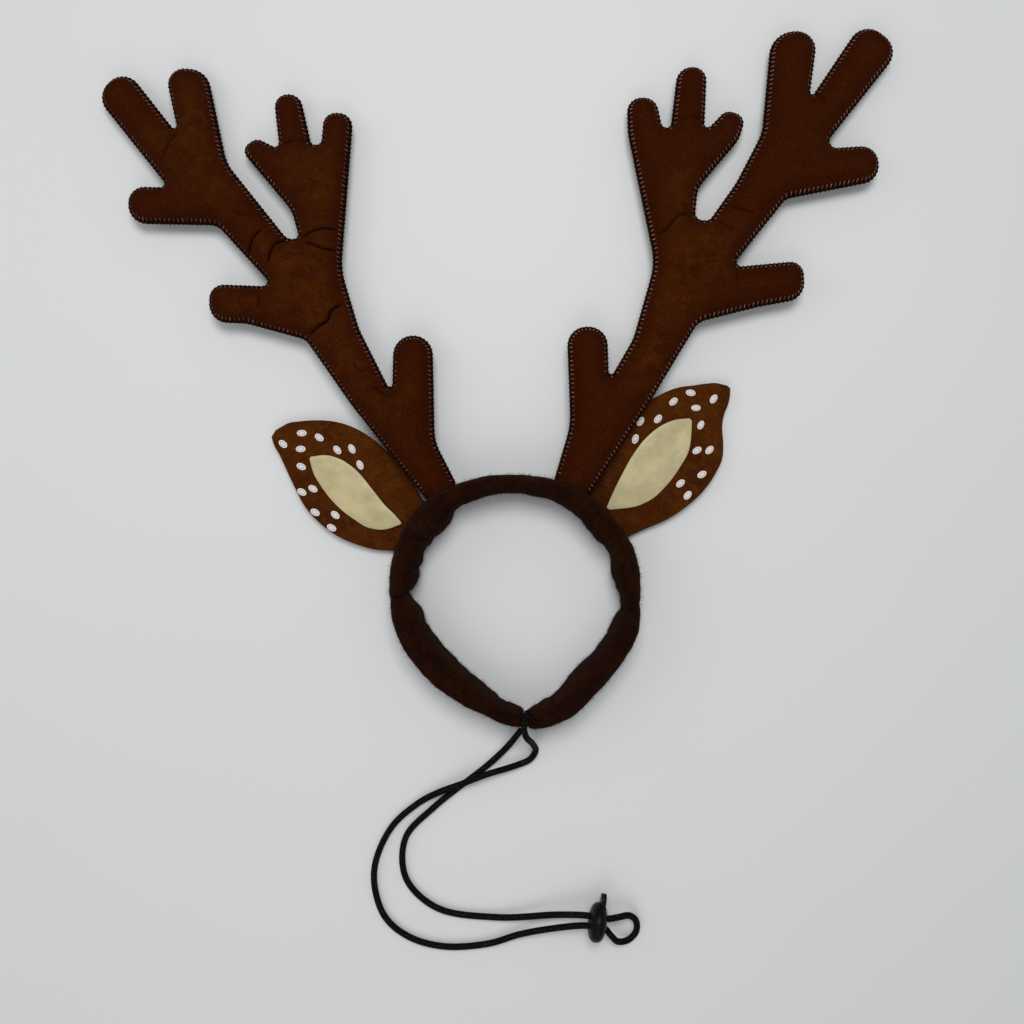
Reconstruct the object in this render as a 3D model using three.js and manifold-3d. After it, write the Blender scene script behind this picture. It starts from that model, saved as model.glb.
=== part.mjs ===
// Pet reindeer antler headband: a padded cloth ring, two stuffed felt antlers, two felt ears
// with smooth inner patches, and a drawcord with a spring lock.
// Millimetres. The headband lies on its back on z = 0: +X to the right as seen from its front,
// +Y towards the antler tips, +Z out of its front. The origin is the centre of the head opening.

import * as THREE from "three";
import { mergeVertices } from "three/addons/utils/BufferGeometryUtils.js";
import Module from "manifold-3d";

const wasm = await Module();
wasm.setup();
const radians = THREE.MathUtils.degToRad;

// Driving dimensions

const CLEARANCE = 0.3; // gap between pieces that touch on the real object

const RING_RADIUS = 57.5; // centre of the opening to the outside of the band
const BAND_THICKNESS = 10; // padding and sleeve, measured radially
const BAND_DEPTH = 24; // from the front edge to the back edge
const BAND_FLATTENED = 0.7; // how far the back edge is pressed flat where it lies
const BAND_END_DOME = 2.4; // length of the rounded tip at each end of the sleeve

const LEFT_ANTLER_HEIGHT = 195;
const RIGHT_ANTLER_HEIGHT = 212;
const TINE_WIDTH = 18;
const ANTLER_PUFF = 6.4; // half the thickness of the stuffing
const ANTLER_SEAM = 0.7; // half the thickness of the sewn edge
const ANTLER_FRONT = 12; // height of the seam plane above z = 0 at the band
const ANTLER_TIP_FLOOR = 6.1; // height of the seam plane at the tips, which lie down

const LEFT_EAR_LENGTH = 76;
const RIGHT_EAR_LENGTH = 81;
const EAR_WIDTH = 46;
const EAR_THICKNESS = 2.4;
const EAR_BACK = 2.6; // height of the ear's back face at the band
const EAR_CUP = 1.6; // how far the ear's edges curl forward
const PATCH_THICKNESS = 1;

const CORD_DIAMETER = 3;
const CORD_SIDES = 8;
const CORD_STEPS = 80;

const LOCK_RADIUS = 8.8;
const LOCK_THICKNESS = 8.2;
const LOCK_ROUNDING = 2.6; // radius of the disc's rim
const LOCK_TURN = -9; // degrees about Z
const STRAND_SPACING = 4.6; // between the two strands in the lock
const STRAND_ROOM = 0.6; // between the strands and the walls round them
const PRESS_OFFSET = 1.1; // from the middle of the lock towards the small loop
const PRESS_TRAVEL = 1.8;
const PRESS_THICKNESS = 2.2;
const PRESS_STANDOUT = 4.6; // how far the press tab stands out of the body
const PRESS_RAIL = 0.85; // wall beside and below the window in the tab
const PRESS_EDGE = 0.4; // chamfer of the tab

// Finishes

const ANTLER_FELT = { color: 0x3a1a0a, roughness: 0.95, metalness: 0 };
const EAR_FELT = { color: 0x6c3c14, roughness: 0.95, metalness: 0 };
const PATCH_VINYL = { color: 0xb9af82, roughness: 0.45, metalness: 0 };
const BAND_CLOTH = { color: 0x261610, roughness: 0.9, metalness: 0 };
const CORD_BRAID = { color: 0x0c0d0c, roughness: 0.7, metalness: 0 };
const LOCK_PLASTIC = { color: 0x16181a, roughness: 0.4, metalness: 0 };

// The band, counter-clockwise from the right-hand end to the left-hand end.
// angle: degrees from +X; reach: outer radius as a share of RING_RADIUS; thick and deep: shares
// of BAND_THICKNESS and BAND_DEPTH; lean: degrees by which the back edge turns inwards.
const BAND_SECTIONS = [
  { angle: 278.2, reach: 1.02, thick: 0.86, deep: 0.8, lean: 0 },
  { angle: 285, reach: 1.018, thick: 0.98, deep: 0.93, lean: 5 },
  { angle: 295, reach: 1.004, thick: 1.06, deep: 1, lean: 8 },
  { angle: 308, reach: 0.962, thick: 1.14, deep: 1, lean: 11 },
  { angle: 320, reach: 0.95, thick: 1.1, deep: 1, lean: 10 },
  { angle: 333, reach: 0.968, thick: 1.04, deep: 1, lean: 8 },
  { angle: 346, reach: 0.993, thick: 1.08, deep: 1, lean: 6 },
  { angle: 358, reach: 0.99, thick: 0.8, deep: 0.97, lean: 2 },
  { angle: 374, reach: 1.012, thick: 1.18, deep: 1, lean: 3 },
  { angle: 385, reach: 1.026, thick: 1.04, deep: 1, lean: 1 },
  { angle: 399, reach: 1.019, thick: 1.24, deep: 1, lean: 0 },
  { angle: 412, reach: 1.022, thick: 1.14, deep: 1, lean: 0 },
  { angle: 424, reach: 1.008, thick: 0.96, deep: 1, lean: 0 },
  { angle: 440, reach: 0.991, thick: 0.86, deep: 1, lean: 0 },
  { angle: 456, reach: 0.995, thick: 0.84, deep: 1, lean: 0 },
  { angle: 470, reach: 1.01, thick: 0.92, deep: 1, lean: 0 },
  { angle: 482, reach: 1.03, thick: 1.06, deep: 1, lean: 0 },
  { angle: 492, reach: 1.045, thick: 1.46, deep: 1, lean: 1 },
  { angle: 504, reach: 1.04, thick: 1.4, deep: 1, lean: 2 },
  { angle: 510, reach: 1.03, thick: 1.24, deep: 1, lean: 2 },
  { angle: 519, reach: 1.014, thick: 1.26, deep: 1, lean: 3 },
  { angle: 529, reach: 0.993, thick: 1.2, deep: 1, lean: 3 },
  { angle: 538, reach: 0.975, thick: 0.86, deep: 0.97, lean: 3 },
  { angle: 545, reach: 0.965, thick: 1.24, deep: 1, lean: 5 },
  { angle: 553, reach: 0.953, thick: 1.26, deep: 1, lean: 7 },
  { angle: 564, reach: 0.928, thick: 1.27, deep: 1, lean: 12 },
  { angle: 577, reach: 0.9, thick: 1.22, deep: 1, lean: 13 },
  { angle: 591, reach: 0.888, thick: 1.16, deep: 1, lean: 12 },
  { angle: 605, reach: 0.897, thick: 1.08, deep: 1, lean: 9 },
  { angle: 618, reach: 0.925, thick: 0.9, deep: 0.97, lean: 5 },
  { angle: 626, reach: 0.97, thick: 0.86, deep: 0.9, lean: 2 },
  { angle: 632.4, reach: 0.998, thick: 0.84, deep: 0.8, lean: 0 },
];
const BAND_STEP = 5; // degrees between two sections of the mesh
const BAND_SIDES = 12; // so that a side faces straight back, and lies flat
const BAND_SQUARENESS = 2.9; // exponent of the rounded-rectangle section
// The rounded tips of the sleeve: out, as a share of BAND_END_DOME; size, of the end section.
const BAND_DOME = [
  { out: 1, size: 0.42 },
  { out: 0.72, size: 0.74 },
  { out: 0.35, size: 0.93 },
];

// Antler outlines. x and y: shares of the antler's height from its seat on the band, x outwards;
// r: corner radius as a share of TINE_WIDTH.
const LEFT_ANTLER = {
  seat: { x: -32.7, y: 50 },
  side: -1,
  height: LEFT_ANTLER_HEIGHT,
  outline: [
    { x: -0.047, y: -0.012, r: 0 },
    { x: 0.0175, y: 0.114, r: 1.25 },
    { x: 0.0235, y: 0.3615, r: 0.5 },
    { x: 0.1142, y: 0.3613, r: 0.5 },
    { x: 0.1166, y: 0.2214, r: 0.07 },
    { x: 0.1958, y: 0.3776, r: 2 },
    { x: 0.2382, y: 0.5175, r: 2 },
    { x: 0.2112, y: 0.8875, r: 0.52 },
    { x: 0.2797, y: 0.8893, r: 0.32 },
    { x: 0.2855, y: 0.8135, r: 0.14 },
    { x: 0.31, y: 0.8124, r: 0.12 },
    { x: 0.338, y: 0.9347, r: 0.35 },
    { x: 0.3986, y: 0.9301, r: 0.32 },
    { x: 0.3834, y: 0.8007, r: 0.1 },
    { x: 0.4382, y: 0.8287, r: 0.27 },
    { x: 0.4755, y: 0.8019, r: 0.27 },
    { x: 0.3543, y: 0.6573, r: 0.9 },
    { x: 0.338, y: 0.5804, r: 0.15 },
    { x: 0.3613, y: 0.5816, r: 0.15 },
    { x: 0.5093, y: 0.7692, r: 1.2 },
    { x: 0.5572, y: 0.9905, r: 0.56 },
    { x: 0.6575, y: 0.9975, r: 0.5 },
    { x: 0.6205, y: 0.832, r: 0.07 },
    { x: 0.75, y: 0.996, r: 0.5 },
    { x: 0.819, y: 0.93, r: 0.5 },
    { x: 0.6434, y: 0.711, r: 0.1 },
    { x: 0.7385, y: 0.7135, r: 0.4 },
    { x: 0.7375, y: 0.6268, r: 0.5 },
    { x: 0.529, y: 0.6225, r: 0.45 },
    { x: 0.3955, y: 0.477, r: 0.12 },
    { x: 0.5466, y: 0.4825, r: 0.36 },
    { x: 0.5455, y: 0.3932, r: 0.48 },
    { x: 0.4592, y: 0.3904, r: 1 },
    { x: 0.3193, y: 0.352, r: 0.4 },
    { x: 0.2098, y: 0.1958, r: 4 },
    { x: 0.0253, y: -0.036, r: 0 },
  ],
};
const RIGHT_ANTLER = {
  seat: { x: 26.4, y: 51.4 },
  side: 1,
  height: RIGHT_ANTLER_HEIGHT,
  outline: [
    { x: -0.046, y: -0.01, r: 0 },
    { x: -0.003, y: 0.133, r: 2.2 },
    { x: -0.0107, y: 0.345, r: 0.48 },
    { x: 0.076, y: 0.345, r: 0.48 },
    { x: 0.0793, y: 0.2273, r: 0.07 },
    { x: 0.1328, y: 0.3191, r: 1.5 },
    { x: 0.1795, y: 0.4829, r: 1.7 },
    { x: 0.1222, y: 0.7655, r: 1.5 },
    { x: 0.1205, y: 0.8425, r: 0.46 },
    { x: 0.182, y: 0.8437, r: 0.37 },
    { x: 0.196, y: 0.7784, r: 0.13 },
    { x: 0.2152, y: 0.7773, r: 0.12 },
    { x: 0.2312, y: 0.9095, r: 0.4 },
    { x: 0.2934, y: 0.911, r: 0.34 },
    { x: 0.287, y: 0.7784, r: 0.1 },
    { x: 0.2998, y: 0.7795, r: 0.1 },
    { x: 0.3341, y: 0.8158, r: 0.28 },
    { x: 0.3775, y: 0.8025, r: 0.3 },
    { x: 0.3623, y: 0.7526, r: 0.8 },
    { x: 0.272, y: 0.6456, r: 0.65 },
    { x: 0.2655, y: 0.5771, r: 0.2 },
    { x: 0.2977, y: 0.5749, r: 0.2 },
    { x: 0.3555, y: 0.6563, r: 2 },
    { x: 0.4127, y: 0.7655, r: 1.2 },
    { x: 0.4345, y: 0.9845, r: 0.64 },
    { x: 0.5355, y: 0.993, r: 0.5 },
    { x: 0.5135, y: 0.834, r: 0.06 },
    { x: 0.6345, y: 1.0135, r: 0.5 },
    { x: 0.7135, y: 0.95, r: 0.5 },
    { x: 0.5398, y: 0.7313, r: 0.18 },
    { x: 0.6578, y: 0.7388, r: 0.42 },
    { x: 0.6685, y: 0.664, r: 0.48 },
    { x: 0.4625, y: 0.6231, r: 0.4 },
    { x: 0.3426, y: 0.4735, r: 0.12 },
    { x: 0.4989, y: 0.4882, r: 0.34 },
    { x: 0.5022, y: 0.4068, r: 0.48 },
    { x: 0.4026, y: 0.3887, r: 1.3 },
    { x: 0.272, y: 0.3555, r: 0.5 },
    { x: 0.167, y: 0.182, r: 4 },
    { x: 0.0257, y: -0.0343, r: 0 },
  ],
};
const ARC_STEP = 4; // length of one facet on a rounded corner
const ARC_TURN = radians(30); // largest turn between two facets on a corner
const EDGE_STEP = 12; // longest facet on a straight edge
const ANTLER_RINGS = [0, 0.13, 0.4, 0.84]; // shares of the way from the edge to the middle
const PUFF_REACH = 0.62; // share of TINE_WIDTH over which the stuffing rises to its full height

// Ears, from the band to the tip. heading: degrees from +X; s: share of the ear's length; inner
// and outer: the half widths towards the antler and away from it, as shares of EAR_WIDTH.
const LEFT_EAR = {
  base: { x: -47.5, y: 34.5 },
  heading: 147.9,
  side: -1,
  length: LEFT_EAR_LENGTH,
  sections: [
    { s: -0.06, inner: 0.24, outer: 0.26 },
    { s: 0.02, inner: 0.27, outer: 0.34 },
    { s: 0.1, inner: 0.34, outer: 0.41 },
    { s: 0.2, inner: 0.42, outer: 0.46 },
    { s: 0.33, inner: 0.48, outer: 0.495 },
    { s: 0.47, inner: 0.52, outer: 0.48 },
    { s: 0.6, inner: 0.515, outer: 0.42 },
    { s: 0.72, inner: 0.465, outer: 0.31 },
    { s: 0.83, inner: 0.37, outer: 0.195 },
    { s: 0.91, inner: 0.275, outer: 0.11 },
    { s: 0.965, inner: 0.19, outer: 0.06 },
    { s: 1, inner: 0.08, outer: 0.01 },
  ],
  patch: [
    { s: 0.05, inner: -0.04, outer: 0.06 },
    { s: 0.105, inner: -0.01, outer: 0.17 },
    { s: 0.19, inner: 0.02, outer: 0.25 },
    { s: 0.31, inner: 0.09, outer: 0.263 },
    { s: 0.47, inner: 0.17, outer: 0.226 },
    { s: 0.58, inner: 0.172, outer: 0.16 },
    { s: 0.67, inner: 0.12, outer: 0.08 },
    { s: 0.73, inner: 0.04, outer: -0.01 },
  ],
};
const RIGHT_EAR = {
  base: { x: 44, y: 38.5 },
  heading: 46.5,
  side: 1,
  length: RIGHT_EAR_LENGTH,
  sections: [
    { s: -0.06, inner: 0.26, outer: 0.26 },
    { s: 0.02, inner: 0.32, outer: 0.31 },
    { s: 0.1, inner: 0.37, outer: 0.37 },
    { s: 0.2, inner: 0.43, outer: 0.445 },
    { s: 0.335, inner: 0.49, outer: 0.5 },
    { s: 0.48, inner: 0.52, outer: 0.515 },
    { s: 0.6, inner: 0.515, outer: 0.48 },
    { s: 0.685, inner: 0.47, outer: 0.425 },
    { s: 0.746, inner: 0.43, outer: 0.335 },
    { s: 0.813, inner: 0.365, outer: 0.21 },
    { s: 0.873, inner: 0.28, outer: 0.14 },
    { s: 0.93, inner: 0.2, outer: 0.1 },
    { s: 0.975, inner: 0.12, outer: 0.05 },
    { s: 1, inner: 0.04, outer: 0.01 },
  ],
  patch: [
    { s: 0.02, inner: 0.075, outer: -0.04 },
    { s: 0.065, inner: 0.105, outer: 0.03 },
    { s: 0.13, inner: 0.145, outer: 0.12 },
    { s: 0.225, inner: 0.195, outer: 0.193 },
    { s: 0.337, inner: 0.245, outer: 0.209 },
    { s: 0.467, inner: 0.268, outer: 0.183 },
    { s: 0.585, inner: 0.235, outer: 0.124 },
    { s: 0.66, inner: 0.17, outer: 0.03 },
    { s: 0.712, inner: 0.09, outer: -0.05 },
  ],
};
const EAR_TIP_DROP = 0.5; // how far the ear's tip lies below its base
const EAR_STEPS = 13; // spans along the ear
const EAR_SPANS = 6; // spans across the ear

const LOCK_SEGMENTS = 24;
const LOCK_RIM_SEGMENTS = 2;
const LOCK_CURVE_SEGMENTS = 4;

// The lock stands on its rim. The drawcord's route, chosen by hand: out of the right-hand end,
// over the joint, to the lock, round the small loop, and back to the left-hand end.
const LOCK_PLACE = new THREE.Vector3(38.2, -147.8, LOCK_RADIUS);
const CORD_ROUTE = [
  [6.2, -49.1, 20.6], [4.9, -52.8, 22.7], [4.5, -56.8, 22.5], [5.5, -60.6, 19.8], [8.6, -66, 9.8],
  [10, -70.4, 4.2], [7.4, -74.8, 2.1], [-0.1, -77.8, 2.9], [-12, -80.9, 5], [-23.9, -85.4, 4.9],
  [-35.8, -90.4, 2.4], [-45.4, -95.9, 1.7], [-57.4, -107.2, 1.6], [-65, -127, 1.6], [-60.6, -147, 1.6],
  [-49.5, -157, 1.6], [-33, -161.8, 1.6], [-12, -160.5, 1.8], [3, -155.6, 3], [20, -151.2, 6.6],
  [32.9, -149.3, 8.8], [41.4, -150.6, 8.8], [44.3, -154.1, 7.5], [48, -158.3, 4.7], [53, -158.5, 2.3],
  [56.7, -155, 1.6], [56.8, -150, 2.3], [53.3, -146.3, 4.7], [47.8, -146, 7.5], [42.7, -146.2, 8.8],
  [33.6, -144.7, 8.8], [20, -145.2, 6.6], [-8, -148.1, 2.2], [-36, -143.8, 1.6], [-50.2, -130, 1.6],
  [-50.4, -111.5, 1.6], [-37.2, -97.2, 1.6], [-12, -77.4, 1.7], [-3.4, -69.2, 2.4], [3.1, -59.8, 9.6],
];

// Solids

// A mesh whose faces point outwards, whichever way its rings were given.
function facingOut(geometry) {
  const position = geometry.attributes.position;
  const index = geometry.index.array;
  const [a, b, c] = [new THREE.Vector3(), new THREE.Vector3(), new THREE.Vector3()];
  let volume = 0;
  for (let i = 0; i < index.length; i += 3) {
    a.fromBufferAttribute(position, index[i]);
    b.fromBufferAttribute(position, index[i + 1]);
    c.fromBufferAttribute(position, index[i + 2]);
    volume += a.dot(b.cross(c));
  }
  if (volume < 0) index.reverse();
  return geometry;
}

// A closed mesh from rings of points that all have the same count. Both ends are closed with the
// same triangles.
function skin(rings, capTriangles) {
  const count = rings[0].length;
  const index = [];
  for (let ring = 0; ring + 1 < rings.length; ring++) {
    for (let i = 0; i < count; i++) {
      const a = ring * count + i;
      const b = ring * count + ((i + 1) % count);
      index.push(a, b, a + count, b, b + count, a + count);
    }
  }
  const last = (rings.length - 1) * count;
  for (const [a, b, c] of capTriangles) {
    index.push(a, c, b);
    index.push(last + a, last + b, last + c);
  }
  const geometry = new THREE.BufferGeometry();
  const positions = rings.flat().flatMap((p) => [p.x, p.y, p.z]);
  geometry.setAttribute("position", new THREE.Float32BufferAttribute(positions, 3));
  geometry.setIndex(index);
  return facingOut(geometry);
}

// Triangles that close a convex ring.
function fan(count) {
  return Array.from({ length: count - 2 }, (_, i) => [0, i + 1, i + 2]);
}

function toManifold(geometry) {
  const plain = geometry.clone();
  plain.deleteAttribute("normal");
  plain.deleteAttribute("uv");
  const merged = mergeVertices(plain, 1e-4);
  return new wasm.Manifold(new wasm.Mesh({
    numProp: 3,
    vertProperties: Float32Array.from(merged.attributes.position.array),
    triVerts: Uint32Array.from(merged.index.array),
  }));
}

function fromManifold(solid) {
  const mesh = solid.getMesh();
  const geometry = new THREE.BufferGeometry();
  geometry.setAttribute("position", new THREE.Float32BufferAttribute(mesh.vertProperties, 3));
  geometry.setIndex(Array.from(mesh.triVerts));
  return geometry;
}

// The first geometry with the others cut out of it.
function cut(geometry, ...tools) {
  const solid = tools.reduce((left, tool) => left.subtract(toManifold(tool)), toManifold(geometry));
  return fromManifold(solid);
}

// The row of a table at a place between its rows, eased from each row to the next.
function rowAt(table, key, place) {
  const inside = THREE.MathUtils.clamp(place, table[0][key], table.at(-1)[key]);
  const next = Math.max(1, table.findIndex((row) => row[key] >= inside));
  const [a, b] = [table[next - 1], table[next]];
  const share = THREE.MathUtils.smoothstep(inside, a[key], b[key]);
  return Object.fromEntries(
    Object.keys(a).map((name) => [name, THREE.MathUtils.lerp(a[name], b[name], share)]),
  );
}

// Band

// One section of the band: a rounded rectangle that stands radially at its angle, leans with its
// back edge inwards, and is pressed flat at z = 0.
function bandSection(angle, grown, scale, along) {
  const row = rowAt(BAND_SECTIONS, "angle", angle);
  const halfThick = ((BAND_THICKNESS * row.thick) / 2) * scale + grown;
  const halfDeep = ((BAND_DEPTH * row.deep) / 2) * scale + grown;
  const radius = RING_RADIUS * row.reach - (BAND_THICKNESS * row.thick) / 2;
  const turn = radians(angle);
  const lean = radians(row.lean);
  const out = new THREE.Vector3(Math.cos(turn), Math.sin(turn), 0);
  const forward = new THREE.Vector3(-Math.sin(turn), Math.cos(turn), 0);
  const middle = out.clone().multiplyScalar(radius).addScaledVector(forward, along);
  middle.z = BAND_DEPTH / 2 - BAND_FLATTENED;
  return Array.from({ length: BAND_SIDES }, (_, i) => {
    const t = ((i + 0.5) / BAND_SIDES) * 2 * Math.PI;
    const power = 2 / BAND_SQUARENESS;
    const across = halfThick * Math.sign(Math.cos(t)) * Math.abs(Math.cos(t)) ** power;
    const up = halfDeep * Math.sign(Math.sin(t)) * Math.abs(Math.sin(t)) ** power;
    const point = middle.clone();
    point.addScaledVector(out, across * Math.cos(lean) + up * Math.sin(lean));
    point.z = Math.max(0, point.z + up * Math.cos(lean) - across * Math.sin(lean));
    return point;
  });
}

// The whole band, with a rounded tip at each end, grown on all sides by a clearance.
function bandGeometry(grown = 0) {
  const first = BAND_SECTIONS[0].angle;
  const last = BAND_SECTIONS.at(-1).angle;
  const steps = Math.round((last - first) / BAND_STEP);
  const rings = BAND_DOME.map((d) => bandSection(first, grown, d.size, -d.out * BAND_END_DOME));
  for (let i = 0; i <= steps; i++) {
    rings.push(bandSection(first + ((last - first) * i) / steps, grown, 1, 0));
  }
  for (const d of BAND_DOME.toReversed()) {
    rings.push(bandSection(last, grown, d.size, d.out * BAND_END_DOME));
  }
  return skin(rings, fan(BAND_SIDES));
}

// Antlers

// An outline with its corners rounded to arcs and its long edges divided.
function roundedOutline(corners) {
  const points = corners.flatMap((corner, i) => {
    const before = corners.at(i - 1).point;
    const after = corners[(i + 1) % corners.length].point;
    const back = before.clone().sub(corner.point).normalize();
    const ahead = after.clone().sub(corner.point).normalize();
    const halfAngle = Math.acos(THREE.MathUtils.clamp(back.dot(ahead), -1, 1)) / 2;
    const room = Math.min(before.distanceTo(corner.point), after.distanceTo(corner.point)) / 2;
    const reach = Math.min(corner.radius / Math.tan(halfAngle), 0.99 * room);
    if (reach < CLEARANCE) return [corner.point];
    const radius = reach * Math.tan(halfAngle);
    const sweep = Math.PI - 2 * halfAngle;
    const toCentre = back.clone().add(ahead).normalize();
    const centre = corner.point.clone().addScaledVector(toCentre, radius / Math.sin(halfAngle));
    const spoke = corner.point.clone().addScaledVector(back, reach).sub(centre);
    const side = Math.sign(back.cross(ahead));
    const facets = Math.max(1, Math.round((radius * sweep) / ARC_STEP), Math.round(sweep / ARC_TURN));
    return Array.from({ length: facets + 1 }, (_, k) =>
      spoke.clone().rotateAround(new THREE.Vector2(), (-side * sweep * k) / facets).add(centre));
  });
  return points.flatMap((point, i) => {
    const next = points[(i + 1) % points.length];
    const parts = Math.ceil(point.distanceTo(next) / EDGE_STEP);
    return Array.from({ length: parts }, (_, k) => point.clone().lerp(next, k / parts));
  });
}

// For each outline point, the inward direction, and the radius of the largest circle that fits
// inside the outline and touches it there, eased so that it changes slowly along the outline.
function inwardRoom(outline) {
  const inward = outline.map((point, i) => {
    const before = point.clone().sub(outline.at(i - 1)).normalize();
    const after = outline[(i + 1) % outline.length].clone().sub(point).normalize();
    const along = before.add(after);
    return new THREE.Vector2(-along.y, along.x).normalize();
  });
  const largest = outline.map((point, i) => Math.min(...outline.map((other) => {
    const chord = other.clone().sub(point);
    const facing = chord.dot(inward[i]);
    return facing > 1e-6 ? chord.lengthSq() / (2 * facing) : Infinity;
  })));
  const room = outline.map((point, i) =>
    Math.min(...outline.map((other, j) => largest[j] + 0.9 * point.distanceTo(other))));
  return { inward, room };
}

// Half the thickness at a distance from the sewn edge: a quarter ellipse up to the full puff.
function puffHeight(distance) {
  const share = Math.min(1, distance / (PUFF_REACH * TINE_WIDTH));
  return ANTLER_SEAM + (ANTLER_PUFF - ANTLER_SEAM) * Math.sqrt(1 - (1 - share) ** 2);
}

// A stuffed antler with its seat cut to the band.
function antlerGeometry(antler) {
  const outline = roundedOutline(antler.outline.map(({ x, y, r }) => ({
    point: new THREE.Vector2(
      antler.seat.x + antler.side * x * antler.height, antler.seat.y + y * antler.height),
    radius: r * TINE_WIDTH,
  })));
  if (THREE.ShapeUtils.isClockWise(outline)) outline.reverse();
  const { inward, room } = inwardRoom(outline);
  const slope = (ANTLER_TIP_FLOOR - ANTLER_FRONT) / antler.height;
  const ring = (share, face) => outline.map((point, i) => {
    const distance = share * room[i];
    const place = point.clone().addScaledVector(inward[i], distance);
    const seam = ANTLER_FRONT + slope * (place.y - antler.seat.y);
    return new THREE.Vector3(place.x, place.y, Math.max(0, seam + face * puffHeight(distance)));
  });
  const back = ANTLER_RINGS.toReversed().map((share) => ring(share, -1));
  const front = ANTLER_RINGS.map((share) => ring(share, 1));
  const middle = front.at(-1).map((p) => new THREE.Vector2(p.x, p.y));
  const stuffed = skin([...back, ...front], THREE.ShapeUtils.triangulateShape(middle, []));
  return cut(stuffed, bandGeometry(CLEARANCE));
}

// Ears

// A place on the ear: s along it as a share of its length, t across it in millimetres towards
// the antler, and lift above its back face.
function earPoint(ear, s, t, lift) {
  const heading = radians(ear.heading);
  const along = new THREE.Vector3(Math.cos(heading), Math.sin(heading), 0);
  const inner = new THREE.Vector3(-along.y, along.x, 0).multiplyScalar(ear.side);
  const fullness = Math.sin(Math.PI * THREE.MathUtils.clamp(s, 0, 1));
  const cup = EAR_CUP * fullness * (t / (EAR_WIDTH / 2)) ** 2;
  const place = new THREE.Vector3(ear.base.x, ear.base.y, EAR_BACK - EAR_TIP_DROP * s + cup + lift);
  return place.addScaledVector(along, s * ear.length).addScaledVector(inner, t);
}

// A sheet on the ear, with its outline from a table, between two heights over the back face.
function earSheet(ear, table, low, high) {
  const from = table[0].s;
  const to = table.at(-1).s;
  const rings = Array.from({ length: EAR_STEPS + 1 }, (_, k) => {
    const s = from + (to - from) * Math.sin((Math.PI / 2) * (k / EAR_STEPS));
    const row = rowAt(table, "s", s);
    const across = Array.from({ length: EAR_SPANS + 1 }, (_, i) =>
      THREE.MathUtils.lerp(-row.outer, row.inner, i / EAR_SPANS) * EAR_WIDTH);
    return [
      ...across.map((t) => earPoint(ear, s, t, low)),
      ...across.toReversed().map((t) => earPoint(ear, s, t, high)),
    ];
  });
  return skin(rings, fan(2 * (EAR_SPANS + 1)));
}

const earGeometry = (ear) => cut(earSheet(ear, ear.sections, 0, EAR_THICKNESS), bandGeometry(CLEARANCE));

function patchGeometry(ear) {
  const back = EAR_THICKNESS + CLEARANCE;
  return earSheet(ear, ear.patch, back, back + PATCH_THICKNESS);
}

// Cord lock, with the strands along its own X and the press tab along its own Y

const strandReach = STRAND_SPACING / 2 + CORD_DIAMETER / 2 + STRAND_ROOM;
const strandHalfHeight = CORD_DIAMETER / 2 + STRAND_ROOM;
const pressHalfWidth = strandHalfHeight + PRESS_RAIL;
const pressLow = -strandReach - PRESS_RAIL;

// A shape with a straight middle and two round ends, from low to high along Y.
function roundEnded(path, halfWidth, low, high) {
  path.absarc(0, high - halfWidth, halfWidth, 0, Math.PI, false);
  path.absarc(0, low + halfWidth, halfWidth, Math.PI, 2 * Math.PI, false);
  path.closePath();
  return path;
}

// A shape drawn in the lock's own Z and Y, extruded along its own X about the middle.
function acrossLock(shape, thickness, bevel = 0) {
  const geometry = new THREE.ExtrudeGeometry(shape, {
    depth: thickness - 2 * bevel,
    curveSegments: LOCK_CURVE_SEGMENTS,
    bevelEnabled: bevel > 0,
    bevelThickness: bevel,
    bevelSize: bevel,
    bevelOffset: -bevel,
    bevelSegments: 1,
  });
  return geometry.translate(0, 0, bevel - thickness / 2).rotateY(Math.PI / 2);
}

function lockBodyGeometry() {
  const half = LOCK_THICKNESS / 2;
  const profile = new THREE.Path();
  profile.moveTo(0, -half);
  profile.lineTo(LOCK_RADIUS - LOCK_ROUNDING, -half);
  profile.absarc(LOCK_RADIUS - LOCK_ROUNDING, LOCK_ROUNDING - half, LOCK_ROUNDING, -Math.PI / 2, 0);
  profile.absarc(LOCK_RADIUS - LOCK_ROUNDING, half - LOCK_ROUNDING, LOCK_ROUNDING, 0, Math.PI / 2);
  profile.lineTo(0, half);
  const disc = new THREE.LatheGeometry(profile.getPoints(LOCK_RIM_SEGMENTS), LOCK_SEGMENTS);
  disc.rotateZ(-Math.PI / 2);
  const slot = acrossLock(
    roundEnded(new THREE.Shape(), strandHalfHeight, -strandReach, strandReach), 2 * LOCK_THICKNESS);
  const pocketLow = pressLow - PRESS_TRAVEL - CLEARANCE;
  const pocketLength = LOCK_RADIUS - pocketLow + CLEARANCE;
  const pocket = new THREE.BoxGeometry(
    PRESS_THICKNESS + 2 * CLEARANCE, pocketLength, 2 * (pressHalfWidth + CLEARANCE));
  pocket.translate(PRESS_OFFSET, pocketLow + pocketLength / 2, 0);
  return cut(disc, slot, pocket);
}

// The press tab: a plate with a window for the strands that stays clear of them over its travel.
function pressTabGeometry() {
  const shape = new THREE.Shape();
  const top = LOCK_RADIUS + PRESS_STANDOUT;
  shape.moveTo(-pressHalfWidth, pressLow);
  shape.lineTo(pressHalfWidth, pressLow);
  shape.lineTo(pressHalfWidth, top - pressHalfWidth);
  shape.absarc(0, top - pressHalfWidth, pressHalfWidth, 0, Math.PI, false);
  shape.closePath();
  shape.holes.push(
    roundEnded(new THREE.Path(), strandHalfHeight, -strandReach, strandReach + PRESS_TRAVEL));
  return acrossLock(shape, PRESS_THICKNESS, PRESS_EDGE).translate(PRESS_OFFSET, 0, 0);
}

// Drawcord

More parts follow.
